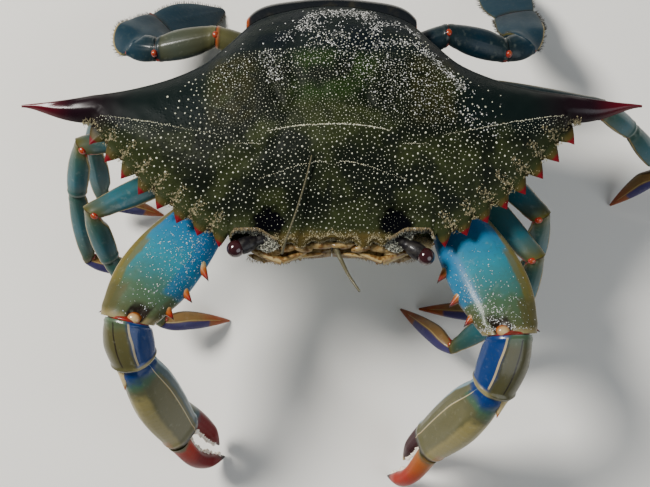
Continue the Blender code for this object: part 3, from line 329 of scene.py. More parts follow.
def frame_shift():
    """How the loaded frame is shifted from the standing crab, from the tips of the shell's spines."""
    shell = frame["nodes"]["carapace"].data.vertices
    far = max(v.co.x for v in shell)
    tip = [v.co.y for v in shell if v.co.x > far - 0.02 * MM]
    near = min(v.co.x for v in shell)
    return Vector(((far + near) / 2 / MM, sum(tip) / len(tip) / MM - stand((HALF_SPAN, 0, 0)).y, 0.0))


SHIFT = frame_shift()
BODY_UP = (stand((0, 0, 1)) - stand((0, 0, 0))).normalized()


def world(point):
    return (Vector(point) + SHIFT) * MM


def heading(azimuth, elevation):
    a = math.radians(azimuth)
    e = math.radians(elevation)
    return Vector((math.cos(a) * math.cos(e), math.sin(a) * math.cos(e), math.sin(e)))


def mix(a, b, t):
    return a + (b - a) * t


def ease(t):
    t = min(1.0, max(0.0, t))
    return t * t * (3 - 2 * t)


def swell(t, start, peak, end, where):
    """A size that rises in a round curve from start to peak at where, then falls to end."""
    if t < where:
        return start + (peak - start) * math.sin(0.5 * math.pi * t / where)
    return end + (peak - end) * math.cos(0.5 * math.pi * (t - where) / (1 - where))


def level_up(way):
    return (Vector((0, 0, 1)) - way * way.z).normalized()


def oval(centre, wide, high, sides, turn=0.0):
    angles = [2 * math.pi * (i + turn) / sides for i in range(sides)]
    return [centre + wide * math.cos(a) + high * math.sin(a) for a in angles]


def curve_at(points, x):
    """Height at x of a smooth curve through points that are sorted by x."""
    last = len(points) - 2
    i = max(k for k in range(last + 1) if points[k][0] <= x or k == 0)
    x0, y0 = points[i]
    x1, y1 = points[i + 1]

    def slope(k):
        a = points[max(k - 1, 0)]
        b = points[min(k + 1, last + 1)]
        return (b[1] - a[1]) / (b[0] - a[0])

    h = x1 - x0
    t = (x - x0) / h
    start = 0.0 if i == 0 else slope(i)
    return ((1 + 2 * t) * (1 - t) ** 2 * y0 + t * (1 - t) ** 2 * h * start
            + t * t * (3 - 2 * t) * y1 + t * t * (t - 1) * h * slope(i + 1))


def along(path, place):
    """A point of a smooth curve through the points of a path; place runs from 0 to 1."""
    spots = [Vector(p) for p in path]
    place *= len(spots) - 1
    i = min(int(place), len(spots) - 2)
    t = place - i
    before = spots[max(i - 1, 0)]
    after = spots[min(i + 2, len(spots) - 1)]
    a, b = spots[i], spots[i + 1]
    return 0.5 * (2 * a + (b - before) * t + (2 * before - 5 * a + 4 * b - after) * t ** 2
                  + (3 * a - before - 3 * b + after) * t ** 3)


def pebble(centre, axis, wide, high, rows, sides, power=1.0, least=0.002, dent=None):
    """Rings of a rounded body: its half sizes are the vectors axis, wide and high."""
    rings = []
    for k in range(rows + 1):
        a = math.pi * k / rows
        size = (math.sin(a) ** power + least) * (dent(a) if dent else 1.0)
        rings.append(oval(centre - axis * math.cos(a), wide * size, high * size, sides))
    return rings


def round_marks(runs, sides):
    """Marks of a loft: how far along it each ring is, and how far round it each point is."""
    return {"run": [[run] * sides for run in runs], "turn": [[i / sides for i in range(sides)] for _ in runs]}


def tumbled(draw):
    """A random way that leans a little upwards."""
    return Vector((draw.gauss(0, 1), draw.gauss(0, 1), draw.gauss(0.6, 1)))


def bulged(first, last, bulge, t):
    run = Vector(last) - Vector(first)
    out = Vector((run.y, -run.x)).normalized()
    return Vector(first) + run * t + out * bulge * 4 * t * (1 - t)


def side_name(side):
    return "right" if side < 0 else "left"


# Making meshes

def lofted(name, rings, marks=None, open_ends=False):
    """A grid primitive wrapped through rings of points, in millimetres, and closed at both ends.

    marks holds values for points under a name, ring by ring, which a material reads as an attribute.
    """
    count = len(rings[0])
    rows = len(rings) - 1
    bpy.ops.object.select_all(action="DESELECT")
    bpy.ops.mesh.primitive_grid_add(x_subdivisions=count, y_subdivisions=rows, size=1)
    piece = bpy.context.object
    piece.name = name
    piece.data.name = name
    cells = [(round((v.co.x + 0.5) * count) % count, round((v.co.y + 0.5) * rows))
             for v in piece.data.vertices]
    for vert, (i, j) in zip(piece.data.vertices, cells):
        vert.co = world(rings[j][i])
    for mark, values in (marks or {}).items():
        layer = piece.data.attributes.new(mark, "FLOAT", "POINT")
        layer.data.foreach_set("value", [float(values[j][i]) for i, j in cells])
    bpy.ops.object.mode_set(mode="EDIT")
    bpy.ops.mesh.select_all(action="SELECT")
    bpy.ops.mesh.remove_doubles(threshold=0.002 * MM)
    if not open_ends:
        bpy.ops.mesh.fill_holes(sides=0)
    bpy.ops.mesh.select_all(action="SELECT")
    bpy.ops.mesh.normals_make_consistent(inside=False)
    bpy.ops.object.mode_set(mode="OBJECT")
    return piece


def budded(rows, sides, tip):
    """A small closed body that narrows to a tip: points and faces. A row is its radius, shift and height."""
    angles = [2 * math.pi * i / sides for i in range(sides)]
    points = [(radius * math.cos(a) + shift, radius * math.sin(a), height)
              for radius, shift, height in rows for a in angles]
    faces = [tuple(reversed(range(sides)))]
    steps = [(i, (i + 1) % sides) for i in range(sides)]
    top = (len(rows) - 1) * sides
    for low in range(0, top, sides):
        faces += [(low + i, low + j, low + sides + j, low + sides + i) for i, j in steps]
    faces += [(top + i, top + j, top + sides) for i, j in steps]
    return points + [tip], faces


def dome_shape(sides=7):
    """A low dome with a flat, closed foot."""
    return budded(((1.0, 0.0, -0.35), (0.86, 0.0, 0.4), (0.45, 0.0, 0.85)), sides, (0.0, 0.0, 1.0))


def hair_shape():
    """A thin hair of three sides, bent a little, that ends in a point."""
    return budded(((1.0, 0.0, 0.0), (0.75, 0.3, 0.45), (0.4, 1.02, 0.8)), 3, (1.8, 0.0, 1.0))


def crumb_shape():
    """A rough little stone of eight faces."""
    points = [(1.0, 0.1, 0.0), (0.1, 0.9, 0.15), (-0.95, -0.1, 0.1), (-0.1, -1.0, 0.0), (0.15, 0.0, 0.8),
              (-0.1, 0.05, -0.75)]
    faces = [(0, 1, 4), (1, 2, 4), (2, 3, 4), (3, 0, 4), (1, 0, 5), (2, 1, 5), (3, 2, 5), (0, 3, 5)]
    return points, faces


def placed(spot, axis, spin, sizes):
    """Matrix that puts a small shape at a standing place, its Z along axis; sizes are in millimetres."""
    axis = axis.normalized()
    side = axis.orthogonal().normalized()
    side = side * math.cos(spin) + axis.cross(side) * math.sin(spin)
    turn = Matrix((side, axis.cross(side), axis)).transposed().to_4x4()
    return Matrix.Translation(world(spot)) @ turn @ Matrix.Diagonal((*(s * MM for s in sizes), 1.0))


def dressed(piece, material, slot, *nodes, angle=50):
    """Gives a piece its material, smooth shading and body, and hides the frame's nodes it stands for; slot is not used.
    """
    piece.data.materials.clear()
    piece.data.materials.append(material)
    bpy.ops.object.select_all(action="DESELECT")
    piece.select_set(True)
    bpy.context.view_layer.objects.active = piece
    bpy.ops.object.shade_smooth_by_angle(angle=math.radians(angle))
    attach(piece, BODY)
    if nodes:
        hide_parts(*nodes)
    return piece


class Crowd:
    """Copies of one small shape, added one by one and then made one piece."""

    def __init__(self, shape):
        self.shape = shape
        self.places = []
        self.tones = []

    def add(self, spot, axis, spin, sizes, tone):
        """A copy at a standing place; its tone, from 0 to 1, is a mark that a material reads."""
        self.places.append(placed(spot, axis, spin, sizes))
        self.tones.append(tone)

    def made(self, name, material, slot, angle=20):
        points, faces = self.shape
        stack = np.array([[list(row) for row in place] for place in self.places])
        spread = np.einsum("nij,kj->nki", stack[:, :3, :3], np.array(points)) + stack[:, None, :3, 3]
        size = len(points)
        copied = [tuple(k * size + i for i in face) for k in range(len(self.places)) for face in faces]
        mesh = bpy.data.meshes.new(name)
        mesh.from_pydata(spread.reshape(-1, 3).tolist(), [], copied)
        layer = mesh.attributes.new("tone", "FLOAT", "POINT")
        layer.data.foreach_set("value", np.repeat(np.array(self.tones, dtype=float), size))
        piece = bpy.data.objects.new(name, mesh)
        bpy.context.scene.collection.objects.link(piece)
        dressed(piece, material, slot, angle=angle)


# Materials

def linear(text):
    """Linear colour of a hexadecimal one."""
    parts = [int(text[i:i + 2], 16) / 255 for i in (1, 3, 5)]
    return tuple(p / 12.92 if p <= 0.04045 else ((p + 0.055) / 1.055) ** 2.4 for p in parts)


class Finish:
    """A material built node by node; most methods return the output of the node that they add."""

    def __init__(self, name, colour=None, roughness=0.4, coat=0.0, coat_roughness=0.1, under=0.0, shine=0.25):
        self.colour = colour
        self.material = bpy.data.materials.new(name)
        self.material.use_nodes = True
        self.tree = self.material.node_tree
        self.surface = self.tree.nodes["Principled BSDF"]
        for socket, value in (("Roughness", roughness), ("Specular IOR Level", shine), ("Coat Weight", coat),
                              ("Coat Roughness", coat_roughness), ("Subsurface Weight", under),
                              ("Subsurface Scale", 0.4 * MM)):
            self.surface.inputs[socket].default_value = value
        self.place = self.add("ShaderNodeTexCoord").outputs["Object"]
        self.normal = None

    def add(self, kind, **settings):
        node = self.tree.nodes.new(kind)
        for name, value in settings.items():
            setattr(node, name, value)
        return node

    def feed(self, socket, value):
        if isinstance(value, bpy.types.NodeSocket):
            self.tree.links.new(value, socket)
        elif hasattr(value, "__len__"):
            socket.default_value = (*tuple(value)[:3], 1.0)
        else:
            socket.default_value = value

    def noise(self, size, detail=3.0, stretch=None):
        """Cloudy noise whose lumps are about size millimetres."""
        node = self.add("ShaderNodeTexNoise")
        node.inputs["Scale"].default_value = 1 / (size * MM)
        node.inputs["Detail"].default_value = detail
        where = self.place
        if stretch:
            mapping = self.add("ShaderNodeMapping")
            mapping.inputs["Scale"].default_value = stretch
            self.feed(mapping.inputs["Vector"], where)
            where = mapping.outputs["Vector"]
        self.feed(node.inputs["Vector"], where)
        return node.outputs["Fac"]

    def cells(self, size, feature="F1"):
        node = self.add("ShaderNodeTexVoronoi", feature=feature)
        node.inputs["Scale"].default_value = 1 / (size * MM)
        self.feed(node.inputs["Vector"], self.place)
        return node.outputs["Distance"]

    def mark(self, name):
        return self.add("ShaderNodeAttribute", attribute_name=name).outputs["Fac"]

    def mask(self, value, low, high, first=0.0, last=1.0):
        """First where value is at low, last where it is at high, smooth between."""
        node = self.add("ShaderNodeMapRange", interpolation_type="SMOOTHSTEP")
        self.feed(node.inputs["Value"], value)
        swap = low > high
        node.inputs["From Min"].default_value = high if swap else low
        node.inputs["From Max"].default_value = low if swap else high
        node.inputs["To Min"].default_value = last if swap else first
        node.inputs["To Max"].default_value = first if swap else last
        return node.outputs["Result"]

    def calc(self, operation, *values):
        node = self.add("ShaderNodeMath", operation=operation)
        for socket, value in zip(node.inputs, values):
            self.feed(socket, value)
        return node.outputs["Value"]

    def times(self, first, second):
        return self.calc("MULTIPLY", first, second)

    def plus(self, first, second):
        return self.calc("ADD", first, second)

    def swing(self, value, amount):
        """How far a noise is off its middle, times amount."""
        return self.times(self.calc("SUBTRACT", value, 0.5), amount)

    def paint(self, colour, *shares):
        """Lays a colour over the one so far, as strongly as all shares multiplied."""
        share = shares[0]
        for other in shares[1:]:
            share = self.times(share, other)
        self.colour = self.blend(share, self.colour, colour)

    def blend(self, share, first, second):
        node = self.add("ShaderNodeMix", data_type="RGBA")
        self.feed(node.inputs[0], share)
        self.feed(node.inputs[6], first)
        self.feed(node.inputs[7], second)
        return node.outputs[2]

    def ramp(self, value, *stops):
        node = self.add("ShaderNodeValToRGB")
        self.feed(node.inputs["Fac"], value)
        band = node.color_ramp
        while len(band.elements) < len(stops):
            band.elements.new(0.5)
        for element, (place, colour) in zip(band.elements, stops):
            element.position = place
            element.color = (*tuple(colour)[:3], 1.0)
        return node.outputs["Color"]

    def near(self, value, centre, half, soft):
        """1 where value is within half of centre, on a scale that wraps round from 1 to 0."""
        apart = self.calc("ABSOLUTE", self.calc("WRAP", self.calc("SUBTRACT", value, centre), 0.5, -0.5))
        return self.mask(apart, half + soft, half)

    def within(self, value, low, high, soft):
        return self.times(self.mask(value, low - soft, low), self.mask(value, high + soft, high))

    def raise_by(self, height, depth):
        """Adds relief of depth millimetres where height is 1."""
        node = self.add("ShaderNodeBump")
        node.inputs["Distance"].default_value = depth * MM
        self.feed(node.inputs["Height"], height)
        if self.normal is not None:
            self.feed(node.inputs["Normal"], self.normal)
        self.normal = node.outputs["Normal"]

    def done(self, roughness=None):
        self.feed(self.surface.inputs["Base Color"], self.colour)
        if roughness is not None:
            self.feed(self.surface.inputs["Roughness"], roughness)
        if self.normal is not None:
            self.feed(self.surface.inputs["Normal"], self.normal)
        return self.material


def hue(name, description, text):
    """A colour that a user may change."""
    return FloatVectorProperty(name=name, description=description, subtype="COLOR", size=3, min=0.0, max=1.0,
                               default=linear(text))


def length(name, description, value):
    """A length that a user may change, in millimetres."""
    return FloatProperty(name=name, description=description, default=value, min=0.0, unit="NONE",
                         subtype="DISTANCE")


class ShellLook(bpy.types.PropertyGroup):
    dark: hue("Dark", "Middle of the shell", "#10150e")
    olive: hue("Olive", "Patches and the front border", "#2b311a")
    green: hue("Green", "Green patches behind the middle", "#1e3012")
    brown: hue("Brown", "Brown patches of the gill regions", "#242513")
    smooth: hue("Smooth wings", "Bare part behind the side ridges", "#0d1716")
    navy: hue("Navy", "Rear of the shell", "#0b141b")
    spine: hue("Spine", "Inner half of the side spines", "#1b0a12")
    spine_tip: hue("Spine tip", "Outer end of the side spines", "#5a0a1a")
    tooth: hue("Tooth tip", "Tips of the edge's teeth", "#680e18")
    tooth_foot: hue("Tooth", "Teeth below their tips", "#514320")
    fringe: hue("Fringe", "Felt between the teeth", "#b5aa84")
    grain: hue("Grain", "Grains on the shell", "#d8d8c2")
    grain_half: length("Grain size", "Half width of a large grain, mm", 0.23)
    grain_gap: length("Grain gap", "Distance between grains in front, mm", 1.12)
    speck: hue("Speck", "Pale specks on the rear and on the arms", "#e6e6e2")


class ClawLook(bpy.types.PropertyGroup):
    blue: hue("Blue", "Arm near the body", "#1b5f90")
    sea: hue("Sea blue", "Middle of the arm", "#28788a")
    sage: hue("Sage", "Far end of the arm", "#3f5a44")
    rim: hue("Rim", "Outer edge of the arm", "#645923")
    cream: hue("Cream", "Edges and knobs", "#bba87a")
    under: hue("Underside", "Underside of the claws", "#7f9aa6")
    wrist: hue("Wrist", "Outside of the wrist", "#4a4729")
    deep: hue("Deep blue", "Inside of the wrist and start of the palm", "#082f66")
    palm: hue("Palm", "Outside of the palm", "#847a4c")
    palm_dark: hue("Palm, dark", "Upper facet of the palm", "#545338")
    slate: hue("Slate", "Inner facet of the palm", "#3c525a")
    crimson: hue("Crimson", "Fingers of the right claw", "#66000a")
    orange: hue("Orange", "Fingers of the left claw", "#981c00")
    plum: hue("Plum", "Moving finger of the left claw", "#35101a")
    # Also used as painted shade in the arm's socket beside the knob and in a groove of the wrist
    night: hue("Finger tip", "Dark tips of the fingers", "#16060a")
    ivory: hue("Ivory", "Teeth of the fingers", "#efe6d8")
    knob: hue("Knob", "Knobs at the joints", "#9c581f")
    joint: hue("Joint", "Skin in the joints", "#84180a")


class LegLook(bpy.types.PropertyGroup):
    teal: hue("Teal", "Upper faces of the legs", "#2f4c43")
    blue: hue("Blue", "Middles of the pieces", "#1f5560")
    olive: hue("Olive", "Edges of the legs", "#4d481c")
    cream: hue("Cream", "Thin edge lines", "#a8925a")
    tan: hue("Tan", "End pieces of the legs", "#80623a")
    # Painted shade for the legs' lower faces and the pieces that lie in shade; it also colours dark parts of the
    # swimming legs, their hairs and folds of the joint skin
    shade: hue("Dark", "Hind faces of the legs", "#121f22")
    violet: hue("Violet", "Hind sides of the legs' end pieces", "#2c2f66")
    joint: hue("Joint", "Red joints", "#8e1606")
    tip: hue("Tip", "Points of the legs", "#94441a")
    navy: hue("Navy", "Paddles", "#0a2a38")
    deep: hue("Deep", "Rim of the paddles", "#07202c")
    sand: hue("Sand", "Pale pieces of the swimming legs", "#565434")
    hair: hue("Hair", "Fringes of hair", "#463c28")


class FaceLook(bpy.types.PropertyGroup):
    eye: hue("Eye", "Eyes", "#2c1014")
    stalk: hue("Stalk", "Eyestalks", "#0e0b10")
    mouth: hue("Mouthparts", "Outer mouthparts", "#8e7444")
    amber: hue("Amber", "Amber parts of the mouth", "#65451c")
    cream: hue("Cream", "Edges of the mouthparts", "#a89468")
    feeler: hue("Feeler", "Feelers", "#5c573f")
    hair: hue("Hair", "Grey felt in the orbits", "#6c6456")


class BellyLook(bpy.types.PropertyGroup):
    white: hue("White", "Underside", "#c3bea8")
    tint: hue("Tint", "Blue tint of the underside", "#7d98a3")
    seam: hue("Seam", "Lines between the plates", "#5d5338")
    tail: hue("Tail", "Rings behind the shell", "#0e1216")


class StudioLook(bpy.types.PropertyGroup):
    floor: hue("Floor", "Floor and backdrop", "#f1efe9")
    key: FloatProperty(name="Key light", description="Power of the main light, W", default=1.25, min=0.0)
    fill: FloatProperty(name="Fill light", description="Power of the light opposite, W", default=0.35, min=0.0)
    world: FloatProperty(name="Room light", description="Strength of the light from all round", default=0.12,
                         min=0.0)
    seed: IntProperty(name="Seed", description="Seed of all random places", default=11, min=0)


# The shell

def rear_y(x):
    return curve_at(REAR_EDGE, abs(x))


def tooth_row_y(x):
    t = (x - TEETH_START) / (TEETH_END - TEETH_START)
    return mix(*TOOTH_ROW_Y, t) - TOOTH_ROW_BULGE * 4 * t * (1 - t)


def spine_front_y(x):
    t = (x - TEETH_END) / (HALF_SPAN - TEETH_END)
    return mix(SPINE_FRONT_Y, -SPINE_TIP_HALF, ease(t * (1 + t) / 2))


def edge_y(x):
    """The shell's edge in front, behind its teeth."""
    a = abs(x)
    if a <= FRONT_HALF:
        return FRONT_Y
    if a < ORBIT_END:
        t = (a - FRONT_HALF) / (ORBIT_END - FRONT_HALF)
        return mix(FRONT_Y, ORBIT_Y, ease(t / 0.45) * ease((1 - t) / 0.15))
    last = SPINE_START - 3.0
    if a <= last:
        return tooth_row_y(max(a, TEETH_START))
    return mix(tooth_row_y(last), spine_front_y(a), ease((a - last) / 3.0))


def groove_at(x, y):
    """Depth of the grooves at a place of the shell's top."""
    deep = 0.0
    spot = Vector((abs(x), y))
    for path, depth, half in GROOVES:
        apart = 99.0
        for a, b in zip(path, path[1:]):
            start = Vector(a)
            run = Vector(b) - start
            t = min(1.0, max(0.0, (spot - start).dot(run) / run.length_squared))
            apart = min(apart, (spot - start - run * t).length)
        if apart < 3 * half:
            deep += depth * math.exp(-(apart / half) ** 2)
    return deep


def plain_top(x, y):
    """Height of the shell's top without grooves and rim; it runs on smoothly over the orbits."""
    a = abs(x)
    front = edge_y(x)
    if FRONT_HALF < a < TEETH_START:
        front = mix(FRONT_Y, TOOTH_ROW_Y[0], (a - FRONT_HALF) / (TEETH_START - FRONT_HALF))
    rear = rear_y(x)
    v = (2 * y - front - rear) / (rear - front)
    power = mix(FRONT_SLOPE, REAR_SLOPE, ease(0.5 + 0.5 * v))
    height = CROWN * (1 - (a / (HALF_SPAN + 2.5)) ** CROWN_FALL)
    rise = sum(up * math.exp(-((a - cx) / rx) ** 2 - ((y - cy) / ry) ** 2) for cx, cy, rx, ry, up in SWELLINGS)
    return height * (1 - abs(v) ** power) + rise * (1 - min(1.0, abs(v)) ** 6)


def top_at(x, y):
    """Height of the shell's top over a place in plan."""
    behind = rear_y(x) - y
    inner = min(1.0, max(0.0, (y - edge_y(x)) / 3.0)) * min(1.0, max(0.0, behind / 3.0))
    rim = RIM_RISE * math.exp(-((behind - RIM_INSET) / RIM_WIDTH) ** 2) * min(1.0, behind / RIM_INSET)
    lumps = 0.16 * noise.noise(Vector((x * 0.32, y * 0.32, 3.1)))
    rim *= 1 - ease((abs(x) - 70) / 8)
    lip = 1.6 * math.exp(-max(0.0, y - edge_y(x)) / 2.5) * (1 - ease((abs(x) - 56) / 8))
    return plain_top(x, y) + lip - valley_at(x, y) + inner * (lumps - groove_at(x, y)) + rim


def valley_at(x, y):
    """Depth of the valleys that run in from the notches between the teeth."""
    a = abs(x)
    if not ORBIT_END < a < SPINE_START + 2 or y > edge_y(x) + 6:
        return 0.0
    deep = 0.0
    for root, lean in VALLEYS:
        apart = Vector((a, y)) - root
        down = apart.dot(lean)
        wide = apart.dot(Vector((-lean.y, lean.x)))
        if -1.0 < down < 5.5:
            deep += 0.45 * math.exp(-(wide / 0.75) ** 2) * ease((5.5 - down) / 5.0) * ease((down + 1.0) / 1.0)
    return deep


def top_normal(x, y):
    step = 0.2
    across = (top_at(x + step, y) - top_at(x - step, y)) / (2 * step)
    back = (top_at(x, y + step) - top_at(x, y - step)) / (2 * step)
    return (stand((-across, -back, 1)) - stand((0, 0, 0))).normalized()


def under_depth(x):
    a = abs(x)
    if a <= BELLY_HALF:
        return BELLY_DEPTH
    if a <= TEETH_END:
        t = (a - BELLY_HALF) / (TEETH_END - BELLY_HALF)
        return mix(BELLY_DEPTH, WING_DEPTH, math.sin(0.5 * math.pi * t) ** WING_RISE)
    return mix(WING_DEPTH, SPINE_DEPTH, (a - TEETH_END) / (HALF_SPAN - TEETH_END))


def side_teeth():
    """For each tooth of the edge: where its foot starts, peaks and ends across, and its tip."""
    tips = []
    for i in range(SIDE_TEETH):
        t = i / (SIDE_TEETH - 1)
        turn = mix(*TOOTH_TURN, t)
        tip = bulged(TOOTH_TIP_FIRST, TOOTH_TIP_LAST, TOOTH_TIP_BULGE, t)
        tips.append((tip, tip.x - math.sin(turn) * TOOTH_FOOT))
    feet = [ORBIT_END] + [(a[1] + b[1]) / 2 for a, b in zip(tips, tips[1:])] + [SPINE_START]
    return [(start, middle, end, tip) for start, end, (tip, middle) in zip(feet, feet[1:], tips)]


# Where the notch behind each tooth starts, and the way it runs in from there
VALLEYS = [(Vector((end, edge_y(end))), (Vector((middle, edge_y(middle))) - tip).normalized())
           for _, middle, end, tip in side_teeth()]


def front_push(x):
    """How far the small teeth of the front push its edge out."""
    return sum(reach * max(0.0, 1 - abs(x - centre) / half) ** 0.85 for centre, reach, half in FRONT_TEETH)


def shell_columns():
    """Sections of the right half from the middle out: place across, push of the outline, tooth share."""
    columns = []
    count = round(FRONT_HALF / MIDDLE_STEP)
    for k in range(count + 1):
        push = front_push(FRONT_HALF * k / count)
        columns.append((FRONT_HALF * k / count, Vector((0, -push)), min(1.0, push / 2.0) * 0.4))
    for k in range(1, ORBIT_COLUMNS):
        t = k / ORBIT_COLUMNS
        fissures = 0.8 * (math.exp(-((t - 0.42) / 0.03) ** 2) + math.exp(-((t - 0.7) / 0.03) ** 2))
        columns.append((mix(FRONT_HALF, ORBIT_END, t), Vector((0, fissures)), 0.0))
    steps = [k / TOOTH_COLUMNS for k in range(TOOTH_COLUMNS)]
    for start, middle, end, tip in side_teeth():
        peak = (middle - start) / (end - start)
        push = tip - Vector((middle, edge_y(middle)))
        for q in [peak * step for step in steps] + [mix(peak, 1, step) for step in steps]:
            share = (q / peak) ** 0.9 if q < peak else ((1 - q) / (1 - peak)) ** 0.75
            columns.append((mix(start, end, q), push * share, share))
    for k in range(SPINE_COLUMNS + 1):
        columns.append((mix(SPINE_START, HALF_SPAN, (k / SPINE_COLUMNS) ** 0.9), Vector((0, 0)), 0.0))
    return columns


def hollow_at(x, y):
    """How far a place lies in the hollow above an orbit, from 0 to 1; the shell paints shade there."""
    return math.exp(-((abs(x) - 16.0) / 4.9) ** 2 - ((y + 32.0 + 0.12 * abs(abs(x) - 15)) / 4.0) ** 2)


def shell_section(x, push, share):
    """One closed section of the shell and its marks: how near a tooth's tip and the edge a point is."""
    front = edge_y(x)
    rear = rear_y(x)
    middle = (front + rear) / 2
    half = (rear - front) / 2
    deep = under_depth(x)
    side = math.copysign(1.0, x)
    ring = []
    tips = []
    lip = top_at(x, front)
    for k in range(STRIP_ROWS):
        r = k / STRIP_ROWS
        dome = 0.2 * share * math.sin(math.pi * min(1.0, r * 1.2)) * (1 - r)
        ring.append((x + side * push.x * (1 - r), front + push.y * (1 - r), mix(EDGE_Z, lip, r) + dome))
        tips.append(share * (1 - r))
    for k in range(TOP_ROWS + 1):
        t = k / TOP_ROWS
        v = mix(2 * t - 1, -math.cos(math.pi * t), 0.35)
        y = middle + half * v
        ring.append((x, y, top_at(x, y)))
        tips.append(0.0)
    inset = min(half * 0.16, 3.0)
    ring.append((x, rear + 0.05, -deep * 0.12))
    ring += [(x, rear - inset * back, -deep * down) for back, down in ((0.15, 0.35), (0.35, 0.6), (0.7, 0.9), (1, 1))]
    ring += [(x, mix(rear - inset, middle, k / 3), -deep) for k in (1, 2, 3)]
    a = abs(x)
    reach = min(half * 0.3, 2.2)
    wall = ease((a - FRONT_HALF) / 1.2) * ease((ORBIT_END - a) / 1.2)
    lip_y = ORBIT_LIP_Y - 0.25 * math.sin(a * 2.3)
    plain = UNDER_WING if a > ORBIT_END else UNDER_EDGE
    brow = ((lip_y + 1.2, -deep), (lip_y, ORBIT_FLOOR - 0.3), (lip_y + 0.5, ORBIT_FLOOR),
            (front - 0.6, ORBIT_FLOOR + 0.3), (front + 1.6, -1.5), (front + 0.9, lip - 1.0))
    for (back, down), (y, z) in zip(plain, brow):
        ring.append((x, mix(front + reach * back, y, wall), mix(-deep * down, z, wall)))
    tips += [0.0] * (len(ring) - len(tips))
    tips[-1] = share * 0.5
    edge = [math.exp(-max(0.0, p[1] - front) / 6.0) for p in ring]
    lips = [wall if z < ORBIT_FLOOR + 0.5 and y < lip_y + 1.4 else 0.0 for x, y, z in ring]
    if a < FRONT_HALF:
        lips = [0.55 if -6.0 < z < -0.2 and y < front + 0.6 else 0.0 for x, y, z in ring]
    hollows = [hollow_at(a, p[1]) for p in ring]
    return [stand(p) for p in ring], tips, edge, lips, hollows


def shell_marks(rings):
    """Where each point lies across and along the body, as parts of half its width."""
    back = []
    across = []
    for ring in rings:
        flat = [(p.x, p.y * math.cos(FRONT_UP) - (p.z - EDGE_HEIGHT) * math.sin(FRONT_UP)) for p in ring]
        across.append([abs(x) / HALF_SPAN for x, y in flat])
        back.append([y / HALF_SPAN for x, y in flat])
    return across, back


def shell_finish(look):
    skin = Finish("crab_shell", look.dark, roughness=0.36)
    broad = skin.noise(11, 4)
    fine = skin.noise(2.2, 5)
    across, back, edge = skin.mark("across"), skin.mark("back"), skin.mark("edge")
    skin.paint(look.olive, skin.mask(broad, 0.42, 0.62))
    skin.paint(look.dark, 0.45, skin.mask(fine, 0.45, 0.7))
    skin.paint(look.smooth, skin.mask(across, 0.34, 0.44), skin.mask(back, -0.16, -0.06))
    skin.paint(look.navy, 0.8, skin.mask(skin.plus(back, skin.times(broad, 0.12)), 0.1, 0.24))
    skin.paint(look.brown, skin.within(across, 0.27, 0.36, 0.05), skin.within(back, -0.07, 0.1, 0.06),
               skin.mask(fine, 0.3, 0.6))
    skin.paint(look.olive, skin.mask(skin.plus(edge, skin.times(fine, 0.25)), 0.45, 0.95),
               skin.mask(back, -0.02, -0.12))
    skin.paint(look.green, skin.mask(across, 0.17, 0.08), skin.within(back, 0.0, 0.1, 0.06),
               skin.mask(broad, 0.35, 0.6))
    skin.paint(look.tooth_foot, 0.8, skin.mask(skin.plus(edge, skin.times(fine, 0.3)), 0.8, 1.2),
               skin.mask(across, 0.21, 0.15))
    # Painted shade: the hollows above the orbits are painted near black and lose their specular shine
    hollow = skin.mask(skin.plus(skin.mark("hollow"), skin.swing(fine, 0.8)), 0.28, 0.7)
    skin.paint(HOLLOW_PAINTED_SHADE, 0.97, hollow)
    skin.paint(look.spine, skin.mask(across, 0.6, 0.84), skin.mask(back, -0.13, -0.05))
    skin.paint(look.spine_tip, skin.mask(across, 0.82, 0.97))
    rough_tip = skin.plus(skin.mark("tip"), skin.swing(fine, 0.35))
    skin.paint(look.tooth_foot, 0.6, skin.mask(rough_tip, 0.15, 0.5))
    skin.paint(look.tooth, skin.mask(rough_tip, 0.55, 0.72))
    skin.paint(look.fringe, skin.mark("lip"), skin.mask(fine, 0.35, 0.55))
    skin.raise_by(skin.times(skin.mask(across, 0.62, 0.5), skin.mask(skin.cells(0.8), 0.5, 0.1)), 0.06)
    skin.raise_by(skin.noise(0.25, 3), 0.018)
    shine = skin.times(skin.mask(across, 0.72, 0.86, 0.06, 0.3), skin.mask(hollow, 0.6, 0.1))
    skin.feed(skin.surface.inputs["Specular IOR Level"], shine)
    return skin.done(skin.plus(skin.times(fine, 0.2), skin.mask(across, 0.7, 0.86, 0.4, 0.12)))


def grain_finish(name, colour, dull, roughness=0.35):
    """Small pale bodies, each a little different."""
    skin = Finish(name, dull, roughness=roughness, coat=0.3)
    skin.paint(colour, skin.mask(skin.mark("tone"), 0.0, 1.0))
    skin.raise_by(skin.noise(0.12, 2), 0.01)
    return skin.done()


class Step:
    """What the panel's steps share."""

    def execute(self, context):
        self.build(context.scene)
        return {"FINISHED"}


class CRAB_OT_shell(Step, bpy.types.Operator):
    """Builds the shell with its teeth, spines and grooves"""

    bl_idname = "crab.shell"
    bl_label = "Shell"

    def build(self, scene):
        half = shell_columns()
        sections = [shell_section(-x, push, share) for x, push, share in reversed(half[1:])]
        sections += [shell_section(x, push, share) for x, push, share in half]
        rings, tips, edges, lips, hollows = zip(*sections)
        across, back = shell_marks(rings)
        marks = {"tip": tips, "edge": edges, "lip": lips, "hollow": hollows, "across": across, "back": back}
        shell = lofted("shell", rings, marks)
        dressed(shell, shell_finish(scene.crab_shell), "back_shell", "carapace", angle=60)


